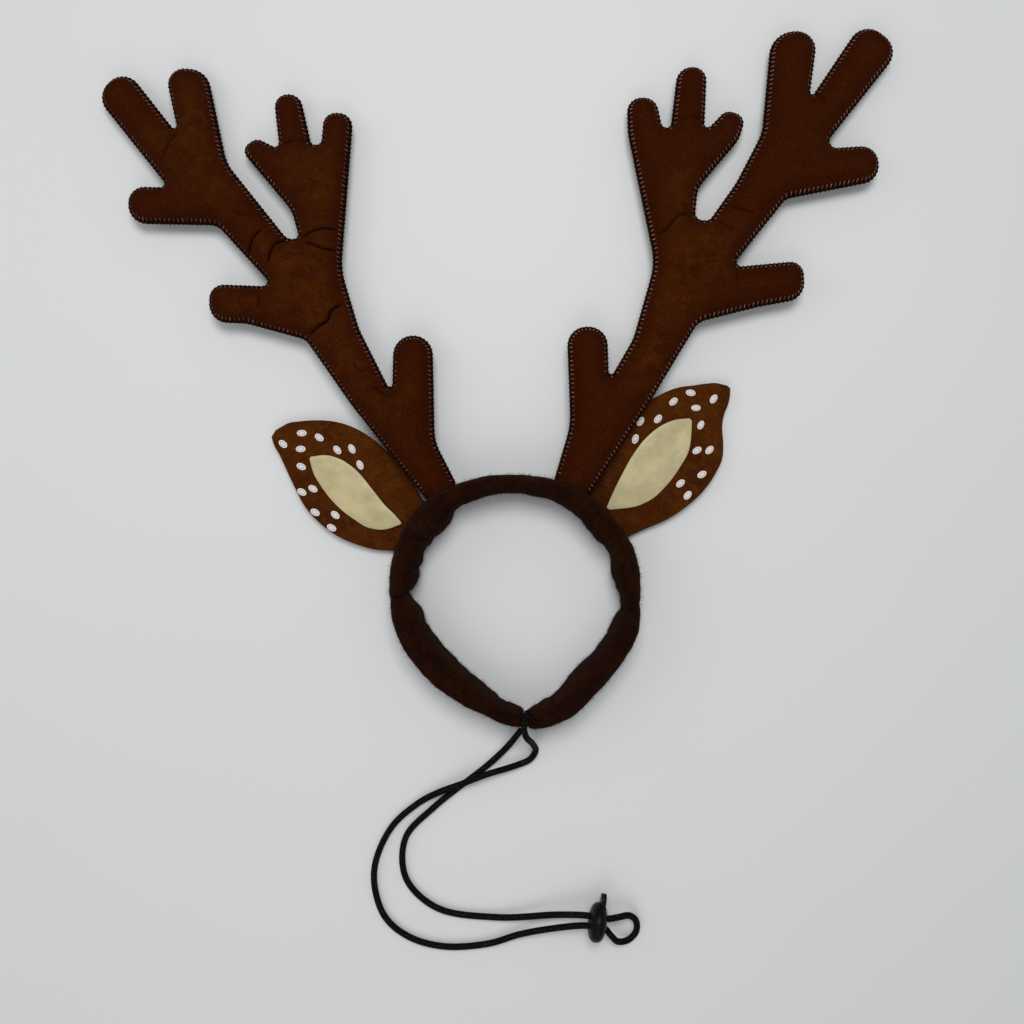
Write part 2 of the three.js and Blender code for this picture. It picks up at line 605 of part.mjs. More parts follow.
function cordGeometry() {
  const route = new THREE.CatmullRomCurve3(CORD_ROUTE.map((p) => new THREE.Vector3(...p)));
  const section = new THREE.Shape(Array.from({ length: CORD_SIDES }, (_, i) => {
    const t = ((i + 0.5) / CORD_SIDES) * 2 * Math.PI;
    return new THREE.Vector2(Math.cos(t), Math.sin(t)).multiplyScalar(CORD_DIAMETER / 2);
  }));
  return new THREE.ExtrudeGeometry(section, { steps: CORD_STEPS, extrudePath: route });
}

// Assembly

function piece(name, geometry, finish) {
  const mesh = new THREE.Mesh(geometry, new THREE.MeshStandardMaterial(finish));
  mesh.name = name;
  return mesh;
}

const headband = new THREE.Group();
headband.add(
  piece("band", bandGeometry(), BAND_CLOTH),
  piece("antler_left", antlerGeometry(LEFT_ANTLER), ANTLER_FELT),
  piece("antler_right", antlerGeometry(RIGHT_ANTLER), ANTLER_FELT),
  piece("ear_left", earGeometry(LEFT_EAR), EAR_FELT),
  piece("ear_right", earGeometry(RIGHT_EAR), EAR_FELT),
  piece("ear_patch_left", patchGeometry(LEFT_EAR), PATCH_VINYL),
  piece("ear_patch_right", patchGeometry(RIGHT_EAR), PATCH_VINYL),
  piece("elastic_cord", cordGeometry(), CORD_BRAID),
);

const lock = new THREE.Group();
lock.position.copy(LOCK_PLACE);
lock.rotation.z = radians(LOCK_TURN);
lock.add(
  piece("lock_body", lockBodyGeometry(), LOCK_PLASTIC),
  piece("lock_press_tab", pressTabGeometry(), LOCK_PLASTIC),
);
headband.add(lock);

export default headband;
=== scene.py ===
"""A pet reindeer antler headband, lying on its back on a pale floor, seen from above its front.

Lengths are in metres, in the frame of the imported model: +X to the right of the front view, +Y
towards the antler tips, +Z out of the front. Surfaces are worked out as numpy arrays.
"""

import math

import bpy
import numpy as np
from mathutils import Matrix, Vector
from mathutils.geometry import delaunay_2d_cdt


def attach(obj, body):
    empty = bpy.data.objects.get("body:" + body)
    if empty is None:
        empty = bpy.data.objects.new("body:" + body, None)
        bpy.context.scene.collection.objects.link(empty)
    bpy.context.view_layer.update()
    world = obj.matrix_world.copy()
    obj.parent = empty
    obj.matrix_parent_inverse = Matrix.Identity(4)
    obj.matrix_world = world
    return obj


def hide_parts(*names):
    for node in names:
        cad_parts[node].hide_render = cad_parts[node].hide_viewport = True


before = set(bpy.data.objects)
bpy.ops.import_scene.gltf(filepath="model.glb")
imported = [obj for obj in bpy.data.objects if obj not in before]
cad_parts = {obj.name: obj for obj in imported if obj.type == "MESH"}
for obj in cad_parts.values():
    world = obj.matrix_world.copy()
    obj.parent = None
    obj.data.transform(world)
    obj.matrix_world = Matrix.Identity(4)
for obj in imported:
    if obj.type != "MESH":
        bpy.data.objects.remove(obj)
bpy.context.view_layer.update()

bl_info = {
    "name": "Reindeer antler headband",
    "version": (1, 0, 0),
    "blender": (4, 5, 0),
    "location": "View3D > Sidebar > Headband",
    "description": "Builds a padded headband with felt antlers, ears and a drawcord",
    "category": "Object",
}

MM = 0.001
TINY_LENGTH = 1e-12
TINY_SQUARE = 1e-18
NOISE_LATTICE = 32
CHUNK_POINTS = 2000
BODY = "headband"
TAB_BODY = "press_tab"

# The photograph's camera looks straight down on the headband.
CAMERA_PLACE = (-0.9 * MM, 40 * MM, 477.5 * MM)
CAMERA_LENS = 36
CAMERA_SENSOR = 36
PHOTO_SIZE = 1024
PIXELS_PER_MM = 2.2  # in the photograph, at the antlers

# A soft key over the antlers, a fill from below and one from the left: each light's name, place,
# diameter and power in watts.
LIGHTS = (
    ("key", (0.02, 0.42, 1.0), 0.5, 6.0),
    ("fill", (-0.15, -0.75, 0.8), 0.8, 2.0),
    ("side", (-0.8, 0.2, 0.6), 0.6, 1.0),
)
LIGHTS_AIM = (0, 0.04, 0)
SKY_COLOUR = (0.93, 0.96, 1, 1)
SKY_STRENGTH = 0.36
FLOOR_HALF = 3.0

# The band, counter-clockwise from its right-hand end to its left-hand end.
# angle: degrees from +X; reach: outer radius as a share of the ring's; thick and deep: shares of
# the band's thickness and depth; lean: degrees by which the back edge turns inwards.
BAND_COLUMNS = ("angle", "reach", "thick", "deep", "lean")
BAND_SECTIONS = (
    (278.2, 1.02, 0.86, 0.8, 0),
    (285, 1.018, 0.98, 0.93, 5),
    (295, 1.004, 1.06, 1, 8),
    (308, 0.962, 1.14, 1, 11),
    (320, 0.95, 1.1, 1, 10),
    (333, 0.968, 1.04, 1, 8),
    (346, 0.993, 1.08, 1, 6),
    (358, 0.99, 0.8, 0.97, 2),
    (374, 1.012, 1.18, 1, 3),
    (385, 1.026, 1.04, 1, 1),
    (399, 1.019, 1.24, 1, 0),
    (412, 1.022, 1.14, 1, 0),
    (424, 1.008, 0.96, 1, 0),
    (440, 0.991, 0.86, 1, 0),
    (456, 0.995, 0.84, 1, 0),
    (470, 1.01, 0.92, 1, 0),
    (482, 1.03, 1.06, 1, 0),
    (492, 1.045, 1.46, 1, 1),
    (504, 1.04, 1.4, 1, 2),
    (510, 1.03, 1.24, 1, 2),
    (519, 1.014, 1.26, 1, 3),
    (529, 0.993, 1.2, 1, 3),
    (538, 0.975, 0.86, 0.97, 3),
    (545, 0.965, 1.24, 1, 5),
    (553, 0.953, 1.26, 1, 7),
    (564, 0.928, 1.27, 1, 12),
    (577, 0.9, 1.22, 1, 13),
    (591, 0.888, 1.16, 1, 12),
    (605, 0.897, 1.08, 1, 9),
    (618, 0.925, 0.9, 0.97, 5),
    (626, 0.97, 0.86, 0.9, 2),
    (632.4, 0.998, 0.84, 0.8, 0),
)
BAND_DOME = 2.4 * MM  # length of the rounded tip at each end of the sleeve
BAND_FLATTENED = 0.7 * MM  # how far the back edge is pressed flat where it lies
BAND_SQUARENESS = 2.7
# Folds of the sleeve. angle: where each crosses the middle of the band; slant: how many degrees it
# runs round the ring from the outside to the inside; width: degrees; depth: mm.
BAND_FOLDS = (
    (281, 3, 1.6, 0.6),
    (287, -4, 1.8, 0.5),
    (296, 5, 2.6, 0.45),
    (318, -6, 3.0, 0.4),
    (331, 4, 2.6, 0.4),
    (345, 7, 2.2, 0.5),
    (357, 2, 2.0, 1.1),
    (364, -6, 1.8, 0.7),
    (381, 8, 2.6, 0.5),
    (394, -5, 2.6, 0.4),
    (408, 7, 2.6, 0.4),
    (428, -4, 3.0, 0.35),
    (451, 5, 3.2, 0.35),
    (474, -6, 2.8, 0.4),
    (488, 4, 2.2, 0.7),
    (498, -3, 2.0, 0.6),
    (508, 5, 1.8, 0.8),
    (516, -6, 2.0, 0.7),
    (527, 6, 2.2, 0.6),
    (538, 2, 1.8, 1.3),
    (549, -6, 2.2, 0.6),
    (566, 6, 3.0, 0.4),
    (586, -5, 3.2, 0.4),
    (604, 6, 2.6, 0.45),
    (619, -4, 2.0, 0.6),
    (628, 3, 1.6, 0.6),
)

# Antler outlines. x and y: shares of the antler's height from its seat on the band, x outwards;
# r: corner radius as a share of the tine width.
ANTLER_SEAM_FRONT = 12 * MM  # height of the seam plane over the floor at the band
ANTLER_SEAM_TIP = 6.1 * MM  # height of the seam plane at the tips, which lie down
LEFT_ANTLER = {
    "seat": (-32.7 * MM, 50 * MM),
    "side": -1,
    "outline": (
        (-0.047, -0.012, 0),
        (0.0175, 0.114, 1.25),
        (0.0235, 0.3615, 0.5),
        (0.1142, 0.3613, 0.5),
        (0.1166, 0.2214, 0.07),
        (0.1958, 0.3776, 2),
        (0.2382, 0.5175, 2),
        (0.2112, 0.8875, 0.52),
        (0.2797, 0.8893, 0.32),
        (0.2855, 0.8135, 0.14),
        (0.31, 0.8124, 0.12),
        (0.338, 0.9347, 0.35),
        (0.3986, 0.9301, 0.32),
        (0.3834, 0.8007, 0.1),
        (0.4382, 0.8287, 0.27),
        (0.4755, 0.8019, 0.27),
        (0.3543, 0.6573, 0.9),
        (0.335, 0.589, 0.3),
        (0.3655, 0.5895, 0.3),
        (0.5093, 0.7692, 1.2),
        (0.5572, 0.9905, 0.56),
        (0.6575, 0.9975, 0.5),
        (0.6205, 0.832, 0.07),
        (0.75, 0.996, 0.5),
        (0.819, 0.93, 0.5),
        (0.6434, 0.711, 0.1),
        (0.7385, 0.7135, 0.4),
        (0.7375, 0.6268, 0.5),
        (0.529, 0.6225, 0.45),
        (0.3955, 0.477, 0.12),
        (0.5466, 0.4825, 0.36),
        (0.5455, 0.3932, 0.48),
        (0.4592, 0.3904, 1),
        (0.3193, 0.352, 0.4),
        (0.2098, 0.1958, 4),
        (0.0253, -0.036, 0),
    ),
}
RIGHT_ANTLER = {
    "seat": (26.4 * MM, 51.4 * MM),
    "side": 1,
    "outline": (
        (-0.046, -0.01, 0),
        (-0.003, 0.133, 2.2),
        (-0.0107, 0.345, 0.48),
        (0.076, 0.345, 0.48),
        (0.0793, 0.2273, 0.07),
        (0.1328, 0.3191, 1.5),
        (0.1795, 0.4829, 1.7),
        (0.1222, 0.7655, 1.5),
        (0.1205, 0.8425, 0.46),
        (0.182, 0.8437, 0.37),
        (0.196, 0.7784, 0.13),
        (0.2152, 0.7773, 0.12),
        (0.2312, 0.9095, 0.4),
        (0.2934, 0.911, 0.34),
        (0.287, 0.7784, 0.1),
        (0.2998, 0.7795, 0.1),
        (0.3341, 0.8158, 0.28),
        (0.3775, 0.8025, 0.3),
        (0.3623, 0.7526, 0.8),
        (0.272, 0.6456, 0.65),
        (0.2655, 0.5771, 0.2),
        (0.2977, 0.5749, 0.2),
        (0.3555, 0.6563, 2),
        (0.4127, 0.7655, 1.2),
        (0.4345, 0.9845, 0.64),
        (0.5355, 0.993, 0.5),
        (0.5135, 0.834, 0.06),
        (0.6345, 1.0135, 0.5),
        (0.7135, 0.95, 0.5),
        (0.5398, 0.7313, 0.18),
        (0.6578, 0.7388, 0.42),
        (0.6685, 0.664, 0.48),
        (0.4625, 0.6231, 0.4),
        (0.3426, 0.4735, 0.12),
        (0.4989, 0.4882, 0.34),
        (0.5022, 0.4068, 0.48),
        (0.4026, 0.3887, 1.3),
        (0.272, 0.3555, 0.5),
        (0.167, 0.182, 4),
        (0.0257, -0.0343, 0),
    ),
}
# Creases in the stuffed felt, as photograph pixels, with the depth and half width in mm.
LEFT_CREASES = (
    (((262, 228), (255, 234), (250, 243), (247, 256)), 2.0, 1.0),
    (((288, 238), (276, 242), (271, 249), (267, 265)), 2.1, 1.0),
    (((299, 238), (311, 231), (322, 228), (339, 229)), 1.9, 1.0),
    (((302, 242), (312, 244), (322, 248), (340, 250)), 1.7, 1.0),
    (((344, 302), (331, 311), (328, 320), (317, 328), (308, 336)), 2.2, 1.1),
    (((259, 297), (258, 309)), 1.0, 1.1),
    (((178, 128), (167, 142), (161, 160)), 1.1, 1.3),
    (((280, 142), (294, 137), (306, 140)), 1.2, 1.0),
    (((232, 209), (244, 214), (252, 210)), 0.9, 1.4),
    (((284, 250), (297, 254), (312, 252)), 0.6, 1.4),
    (((374, 388), (388, 396), (400, 392)), 0.9, 1.5),
    (((350, 362), (362, 371), (372, 366)), 0.8, 1.5),
    (((338, 350), (349, 345), (360, 347)), 0.6, 1.4),
    (((362, 392), (373, 389), (384, 383)), 0.7, 1.3),
    (((378, 412), (392, 408), (404, 411)), 0.5, 1.5),
)
RIGHT_CREASES = (
    (((691, 214), (681, 214), (673, 221), (667, 229), (653, 234)), 1.3, 1.2),
    (((729, 204), (742, 209), (757, 213)), 1.0, 1.3),
    (((717, 218), (725, 224), (736, 231)), 1.0, 1.2),
    (((681, 117), (692, 114), (705, 117)), 1.0, 1.1),
    (((812, 88), (822, 95), (830, 104)), 0.8, 1.3),
    (((618, 366), (612, 374), (598, 377)), 0.9, 1.4),
    (((733, 262), (738, 272), (736, 284)), 0.8, 1.4),
    (((700, 258), (711, 254), (722, 256)), 0.5, 1.5),
    (((640, 340), (652, 337), (664, 340)), 0.5, 1.5),
)
# Painted light: places where the antler felt is painted lighter and warmer, as if lit more, as
# photograph pixels with a reach in pixels; elsewhere it is painted darker and redder.
LIT_PLACES = (
    (292, 268, 52), (330, 320, 36), (352, 360, 40), (186, 118, 42), (225, 165, 40), (318, 175, 40),
    (240, 300, 26), (392, 395, 26), (700, 246, 44), (672, 300, 36), (645, 358, 36), (690, 190, 26),
)
# Faint creases in the smooth patches, as photograph pixels, with the depth and half width in mm.
LEFT_PATCH_CREASES = (
    (((322, 468), (336, 476), (349, 478)), 0.07, 0.8),
    (((345, 500), (358, 497), (371, 503)), 0.06, 0.8),
)
RIGHT_PATCH_CREASES = (
    (((644, 446), (655, 438), (668, 436)), 0.06, 0.8),
    (((634, 484), (650, 475), (668, 466)), 0.1, 0.6),
    (((664, 461), (674, 456), (686, 447)), 0.13, 0.5),
)

# Ears, from the band to the tip. s: share of the ear's length; inner and outer: the half widths
# towards the antler and away from it, as shares of the ear's width.
EAR_COLUMNS = ("s", "inner", "outer")
EAR_BACK = 2.6 * MM  # height of the ear's back face at the band
EAR_TIP_DROP = 0.5 * MM
EAR_CUP = 1.6 * MM
LEFT_EAR = {
    "base": (-47.5 * MM, 34.5 * MM),
    "heading": 147.9,
    "side": -1,
    "sections": (
        (-0.06, 0.24, 0.26),
        (0.02, 0.27, 0.34),
        (0.1, 0.34, 0.41),
        (0.2, 0.42, 0.46),
        (0.33, 0.48, 0.495),
        (0.47, 0.52, 0.48),
        (0.6, 0.515, 0.42),
        (0.72, 0.465, 0.31),
        (0.83, 0.37, 0.195),
        (0.91, 0.275, 0.11),
        (0.965, 0.19, 0.06),
        (1, 0.08, 0.01),
    ),
    "patch": (
        (0.05, -0.04, 0.06),
        (0.105, -0.01, 0.17),
        (0.19, 0.02, 0.25),
        (0.31, 0.09, 0.263),
        (0.47, 0.17, 0.226),
        (0.58, 0.172, 0.16),
        (0.67, 0.12, 0.08),
        (0.73, 0.04, -0.01),
    ),
    "spots": (
        (301.5, 433, 0), (282.7, 443.9, -40), (319.2, 437.5, -35), (300.5, 448.9, 0),
        (301, 466.5, -25), (337.3, 450, -50), (352, 448.9, -60), (360, 465, -65),
        (301.9, 492, -30), (312.9, 488.7, -30), (315.4, 512.3, -30), (335.4, 515, -40),
        (332, 527.7, -30),
    ),
}
RIGHT_EAR = {
    "base": (44 * MM, 38.5 * MM),
    "heading": 46.5,
    "side": 1,
    "sections": (
        (-0.06, 0.26, 0.26),
        (0.02, 0.32, 0.31),
        (0.1, 0.37, 0.37),
        (0.2, 0.43, 0.445),
        (0.335, 0.49, 0.5),
        (0.48, 0.52, 0.515),
        (0.6, 0.515, 0.48),
        (0.685, 0.47, 0.425),
        (0.746, 0.43, 0.335),
        (0.813, 0.365, 0.21),
        (0.873, 0.28, 0.14),
        (0.93, 0.2, 0.1),
        (0.975, 0.12, 0.05),
        (1, 0.04, 0.01),
    ),
    "patch": (
        (0.02, 0.075, -0.04),
        (0.065, 0.105, 0.03),
        (0.13, 0.145, 0.12),
        (0.225, 0.195, 0.193),
        (0.337, 0.245, 0.209),
        (0.467, 0.268, 0.183),
        (0.585, 0.235, 0.124),
        (0.66, 0.17, 0.03),
        (0.712, 0.09, -0.05),
    ),
    "spots": (
        (690.8, 392.7, -8), (713.9, 398.8, 55), (673.4, 401.6, 40), (696.2, 407.9, 0),
        (657.9, 419, 50), (700.7, 425, 60), (640.3, 421.5, 55), (635.3, 439, 70),
        (697, 450.4, 30), (709.4, 450, 45), (701.7, 474.5, 30), (680.4, 483.4, 40),
        (687.4, 495.3, 50),
    ),
}

# The drawcord's route in metres: out of the right-hand end, over the joint, through the lock,
# round the small loop, back through the lock and to the left-hand end.
CORD_ROUTE = (
    (0.0062, -0.0491, 0.0206), (0.0049, -0.0528, 0.0227), (0.0045, -0.0568, 0.0225),
    (0.0055, -0.0606, 0.0198), (0.0086, -0.066, 0.0098), (0.01, -0.0704, 0.0042),
    (0.0074, -0.0748, 0.0021), (-0.0001, -0.0778, 0.0029), (-0.012, -0.0809, 0.005),
    (-0.0239, -0.0854, 0.0049), (-0.0358, -0.0904, 0.0024), (-0.0454, -0.0959, 0.0017),
    (-0.0574, -0.1072, 0.0016), (-0.065, -0.127, 0.0016), (-0.0606, -0.147, 0.0016),
    (-0.0495, -0.157, 0.0016), (-0.033, -0.1618, 0.0016), (-0.012, -0.1605, 0.0018),
    (0.003, -0.1556, 0.003), (0.02, -0.1512, 0.0066), (0.0329, -0.1493, 0.0088),
    (0.0414, -0.1506, 0.0088), (0.0443, -0.1541, 0.0075), (0.048, -0.1583, 0.0047),
    (0.053, -0.1585, 0.0023), (0.0567, -0.155, 0.0016), (0.0568, -0.15, 0.0023),
    (0.0533, -0.1463, 0.0047), (0.0478, -0.146, 0.0075), (0.0427, -0.1462, 0.0088),
    (0.0336, -0.1447, 0.0088), (0.02, -0.1452, 0.0066), (-0.008, -0.1481, 0.0022),
    (-0.036, -0.1438, 0.0016), (-0.0502, -0.13, 0.0016), (-0.0504, -0.1115, 0.0016),
    (-0.0372, -0.0972, 0.0016), (-0.012, -0.0774, 0.0017), (-0.0034, -0.0692, 0.0024),
    (0.0031, -0.0598, 0.0096),
)

# The cord lock. In its own frame, the strands run along X and the tab slides along Y.
LOCK_PLACE = (38.2 * MM, -147.8 * MM, 8.8 * MM)
LOCK_TURN = math.radians(-9)
LOCK_RADIUS = 8.8 * MM
LOCK_THICKNESS = 8.2 * MM
LOCK_SQUARENESS = 2.5
LOCK_EDGE = 0.25 * MM
LOCK_CLEARANCE = 0.3 * MM  # between the tab and its pocket
STRAND_SPACING = 4.6 * MM
STRAND_ROOM = 0.6 * MM  # round a strand, in the slot and the window
PRESS_OFFSET = 1.1 * MM  # of the tab from the middle of the body
PRESS_TRAVEL = 1.8 * MM
PRESS_THICKNESS = 2.2 * MM
PRESS_STANDOUT = 4.6 * MM  # how far the tab stands out of the body
PRESS_RAIL = 0.85 * MM  # width of the tab beside its window
PRESS_EDGE = 0.8 * MM


def length_property(name, description, default):
    """A length that a user would change."""
    return bpy.props.FloatProperty(
        name=name, description=description, default=default, unit="LENGTH")


def colour_property(name, description, default):
    """A colour that a user would change, as linear light."""
    return bpy.props.FloatVectorProperty(
        name=name, description=description, default=default, subtype="COLOR", size=3)


class HeadbandSizes(bpy.types.PropertyGroup):
    """Sizes that a user would change."""

    ring_radius: length_property(
        "Ring radius", "Centre of the opening to the outside of the band", 57.5 * MM)
    band_thickness: length_property(
        "Band thickness", "Padding and sleeve, measured radially", 10 * MM)
    band_depth: length_property("Band depth", "From the front edge to the back edge", 24 * MM)
    left_antler_height: length_property("Left antler height", "Seat to the highest tip", 195 * MM)
    right_antler_height: length_property("Right antler height", "Seat to the highest tip", 212 * MM)
    tine_width: length_property(
        "Tine width", "Width of a tine, which the corner radii follow", 18 * MM)
    antler_puff: length_property("Antler puff", "Half the thickness of the stuffed felt", 6.4 * MM)
    stitch_pitch: length_property("Stitch pitch", "Distance between two whip stitches", 2.05 * MM)
    left_ear_length: length_property("Left ear length", "Band to tip", 76 * MM)
    right_ear_length: length_property("Right ear length", "Band to tip", 81 * MM)
    ear_width: length_property("Ear width", "Widest place of an ear", 46 * MM)
    ear_thickness: length_property("Ear thickness", "Thickness of the ear's felt", 2.4 * MM)
    patch_thickness: length_property("Patch thickness", "Thickness of the smooth inner patch", 1 * MM)
    cord_diameter: length_property("Cord diameter", "Diameter of the braided elastic", 3 * MM)


class HeadbandColours(bpy.types.PropertyGroup):
    """Main colours, as linear light."""

    antler: colour_property("Antler felt", "Brown felt of the antlers", (0.047, 0.0092, 0.0010))
    ear: colour_property("Ear felt", "Tan felt of the ears", (0.068, 0.0165, 0.0022))
    patch: colour_property("Patch", "Cream imitation leather", (0.47, 0.40, 0.205))
    band: colour_property("Band cloth", "Short-pile cloth of the band", (0.0088, 0.0025, 0.0009))
    cord: colour_property("Cord", "Braided elastic", (0.0016, 0.0017, 0.0016))
    lock: colour_property("Lock", "Satin moulded plastic", (0.0015, 0.0017, 0.0016))
    floor: colour_property("Floor", "Pale floor", (0.68, 0.685, 0.68))


def smooth(share):
    """Eases from 0 to 1: three times the square less twice the cube."""
    inside = np.clip(share, 0, 1)
    return inside * inside * (3 - 2 * inside)


def table_at(rows, names, key, place):
    """Every column of a table at places between its rows: a cubic through the rows, whose slope
    at each row is that of its neighbours."""
    table = {name: np.array([row[k] for row in rows], float) for k, name in enumerate(names)}
    inside = np.clip(place, table[key][0], table[key][-1])
    after = np.clip(np.searchsorted(table[key], inside), 1, len(rows) - 1)
    span = table[key][after] - table[key][after - 1]
    t = (inside - table[key][after - 1]) / span
    columns = {}
    for name, value in table.items():
        slope = np.gradient(value, table[key])
        columns[name] = ((2 * t ** 3 - 3 * t ** 2 + 1) * value[after - 1]
                         + (t ** 3 - 2 * t ** 2 + t) * span * slope[after - 1]
                         + (3 * t ** 2 - 2 * t ** 3) * value[after]
                         + (t ** 3 - t ** 2) * span * slope[after])
    return columns


def noise(points, size, seed):
    """Smooth noise from -1 to 1: random values on a cubic lattice, eased between its corners."""
    values = np.random.default_rng(seed).uniform(-1, 1, (NOISE_LATTICE,) * 3)
    place = points / size
    cell = np.floor(place).astype(int)
    share = smooth(place - cell)
    total = np.zeros(points.shape[:-1])
    for corner in np.ndindex(2, 2, 2):
        weight = np.prod(np.where(corner, share, 1 - share), axis=-1)
        index = np.moveaxis((cell + corner) % NOISE_LATTICE, -1, 0)
        total += weight * values[tuple(index)]
    return total


def layered_noise(points, layers, seed):
    """A sum of noises: each layer is a depth, the size of its lumps and a step from the seed."""
    return sum(depth * noise(points, size, seed + step) for depth, size, step in layers)


def bell(away, width=1):
    """One in the middle, falling on both sides by the square of the distance over the width."""
    return np.exp(-(away / width) ** 2)


def squared_off(wave, power):
    """A cosine or sine that makes a superellipse: its sign times its size to a power."""
    return np.sign(wave) * np.abs(wave) ** power


def unit(vectors):
    """Vectors of length one."""
    return vectors / np.maximum(np.linalg.norm(vectors, axis=-1, keepdims=True), TINY_LENGTH)


def photo_place(pixel_u, pixel_v, height):
    """Where the camera's ray through a pixel of the photograph meets a height over the floor."""
    pixels_per_metre = PHOTO_SIZE * CAMERA_LENS / CAMERA_SENSOR / (CAMERA_PLACE[2] - height)
    middle = PHOTO_SIZE / 2
    return np.stack([
        CAMERA_PLACE[0] + (pixel_u - middle) / pixels_per_metre,
        CAMERA_PLACE[1] - (pixel_v - middle) / pixels_per_metre], axis=-1)


def eased_line(points, per_span):
    """A centripetal Catmull-Rom curve: through the points, with knots at the roots of the spans."""
    points = np.array(points, float)
    padded = np.vstack([2 * points[0] - points[1], points, 2 * points[-1] - points[-2]])
    a, b, c, d = (padded[k:len(padded) - 3 + k, None] for k in range(4))
    ab, bc, cd = (np.sqrt(np.linalg.norm(q - p, axis=-1, keepdims=True))
                  for p, q in ((a, b), (b, c), (c, d)))
    t1, t2, t3 = ab, ab + bc, ab + bc + cd
    t = t1 + (t2 - t1) * np.linspace(0, 1, per_span, endpoint=False)[None, :, None]
    p1 = (t1 - t) / t1 * a + t / t1 * b
    p2 = (t2 - t) / (t2 - t1) * b + (t - t1) / (t2 - t1) * c
    p3 = (t3 - t) / (t3 - t2) * c + (t - t2) / (t3 - t2) * d
    q1 = (t2 - t) / t2 * p1 + t / t2 * p2
    q2 = (t3 - t) / (t3 - t1) * p2 + (t - t1) / (t3 - t1) * p3
    curve = (t2 - t) / (t2 - t1) * q1 + (t - t1) / (t2 - t1) * q2
    return np.vstack([curve.reshape(-1, points.shape[1]), points[-1:]])


def arc_lengths(line):
    """Distance along a line at each of its points."""
    return np.concatenate([[0], np.cumsum(np.linalg.norm(np.diff(line, axis=0), axis=1))])


def even_line(line, count):
    """The line at evenly spaced distances along it."""
    along = arc_lengths(line)
    places = np.linspace(0, along[-1], count)
    return np.stack([np.interp(places, along, line[:, k]) for k in range(line.shape[1])], axis=1)


def distance_to_line(points, line, closed):
    """The distance of each point to the nearest place on a line of straight pieces, and how far
    along the line that place lies, as a share of its pieces."""
    start = line
    end = np.roll(line, -1, axis=0)
    if not closed:
        start, end = start[:-1], end[:-1]
    span = end - start
    square = np.maximum(np.sum(span * span, axis=1), TINY_SQUARE)
    nearest = np.full(len(points), np.inf)
    share = np.zeros(len(points))
    for first in range(0, len(points), CHUNK_POINTS):
        part = points[first:first + CHUNK_POINTS]
        away = part[:, None] - start[None]
        t = np.clip(np.sum(away * span, axis=2) / square, 0, 1)
        gap = np.linalg.norm(away - t[..., None] * span, axis=2)
        best = gap.argmin(axis=1)
        rows = np.arange(len(part))
        nearest[first:first + CHUNK_POINTS] = gap[rows, best]
        share[first:first + CHUNK_POINTS] = (best + t[rows, best]) / len(start)
    return nearest, share


def ring_faces(rings, sides, first=0):
    """Quads between rings of points that each close on themselves."""
    ring, side = np.meshgrid(np.arange(rings - 1), np.arange(sides), indexing="ij")
    after = (side + 1) % sides
    quads = np.stack([ring * sides + side, ring * sides + after,
                      (ring + 1) * sides + after, (ring + 1) * sides + side], axis=-1)
    return first + quads.reshape(-1, 4)


def closed_tube(rings):
    """Vertices and faces of rings of points, closed at both ends by a fan to the ring's middle."""
    count, sides, _ = rings.shape
    vertices = np.vstack([rings.reshape(-1, 3), rings[0].mean(0), rings[-1].mean(0)])
    around = np.arange(sides)
    after = (around + 1) % sides
    last = (count - 1) * sides
    head = np.stack([np.full(sides, count * sides), after, around], axis=1)
    tail = np.stack([np.full(sides, count * sides + 1), last + around, last + after], axis=1)
    return vertices, [ring_faces(count, sides), head, tail]


def many_tubes(paths, across, radius, sides):
    """Small closed tubes, all alike in their counts: each follows a row of paths, and its ring
    lies in the plane of a fixed sideways direction and the normal to both."""
    tubes, count, _ = paths.shape
    along = unit(np.gradient(paths, axis=1))
    sideways = np.broadcast_to(across[:, None], along.shape)
    normal = unit(np.cross(along, sideways))
    turn = np.arange(sides) * 2 * math.pi / sides
    rings = (paths[:, :, None] + radius[None, :, None, None] * (
        sideways[:, :, None] * np.cos(turn)[None, None, :, None]
        + normal[:, :, None] * np.sin(turn)[None, None, :, None]))
    vertices = rings.reshape(-1, 3)
    per_tube = count * sides
    firsts = np.arange(tubes)[:, None, None] * per_tube
    quads = (ring_faces(count, sides)[None] + firsts).reshape(-1, 4)
    head = np.arange(sides)[::-1][None, None] + firsts
    tail = (count - 1) * sides + np.arange(sides)[None, None] + firsts
    return vertices, [quads, head.reshape(-1, sides), tail.reshape(-1, sides)]


def facing_out(vertices, faces):
    """The faces turned round if the surface that they close has a negative volume."""
    volume = 0
    for group in faces:
        for k in range(1, group.shape[1] - 1):
            a, b, c = vertices[group[:, 0]], vertices[group[:, k]], vertices[group[:, k + 1]]
            volume += np.sum(a * np.cross(b, c))
    return [group[:, ::-1] for group in faces] if volume < 0 else faces


def solid_object(name, vertices, faces):
    """An object from the vertices and faces of a closed surface."""
    mesh = bpy.data.meshes.new(name)
    rows = [face for group in facing_out(vertices, faces) for face in group.tolist()]
    mesh.from_pydata(vertices.tolist(), [], rows)
    made = bpy.data.objects.new(name, mesh)
    bpy.context.scene.collection.objects.link(made)
    return made


def put(name, vertices, faces, material, replaces=(), attributes=None):
    """Makes a piece from arrays, shades it smooth, and lets it ride on the headband."""
    piece = solid_object(name, vertices, faces)
    for key, values in (attributes or {}).items():
        layer = piece.data.attributes.new(key, "FLOAT", "POINT")
        layer.data.foreach_set("value", np.asarray(values, np.float32))
    piece.data.shade_smooth()
    piece.data.materials.append(material)
    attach(piece, BODY)
    if replaces:
        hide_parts(*replaces)
    return piece


# Materials


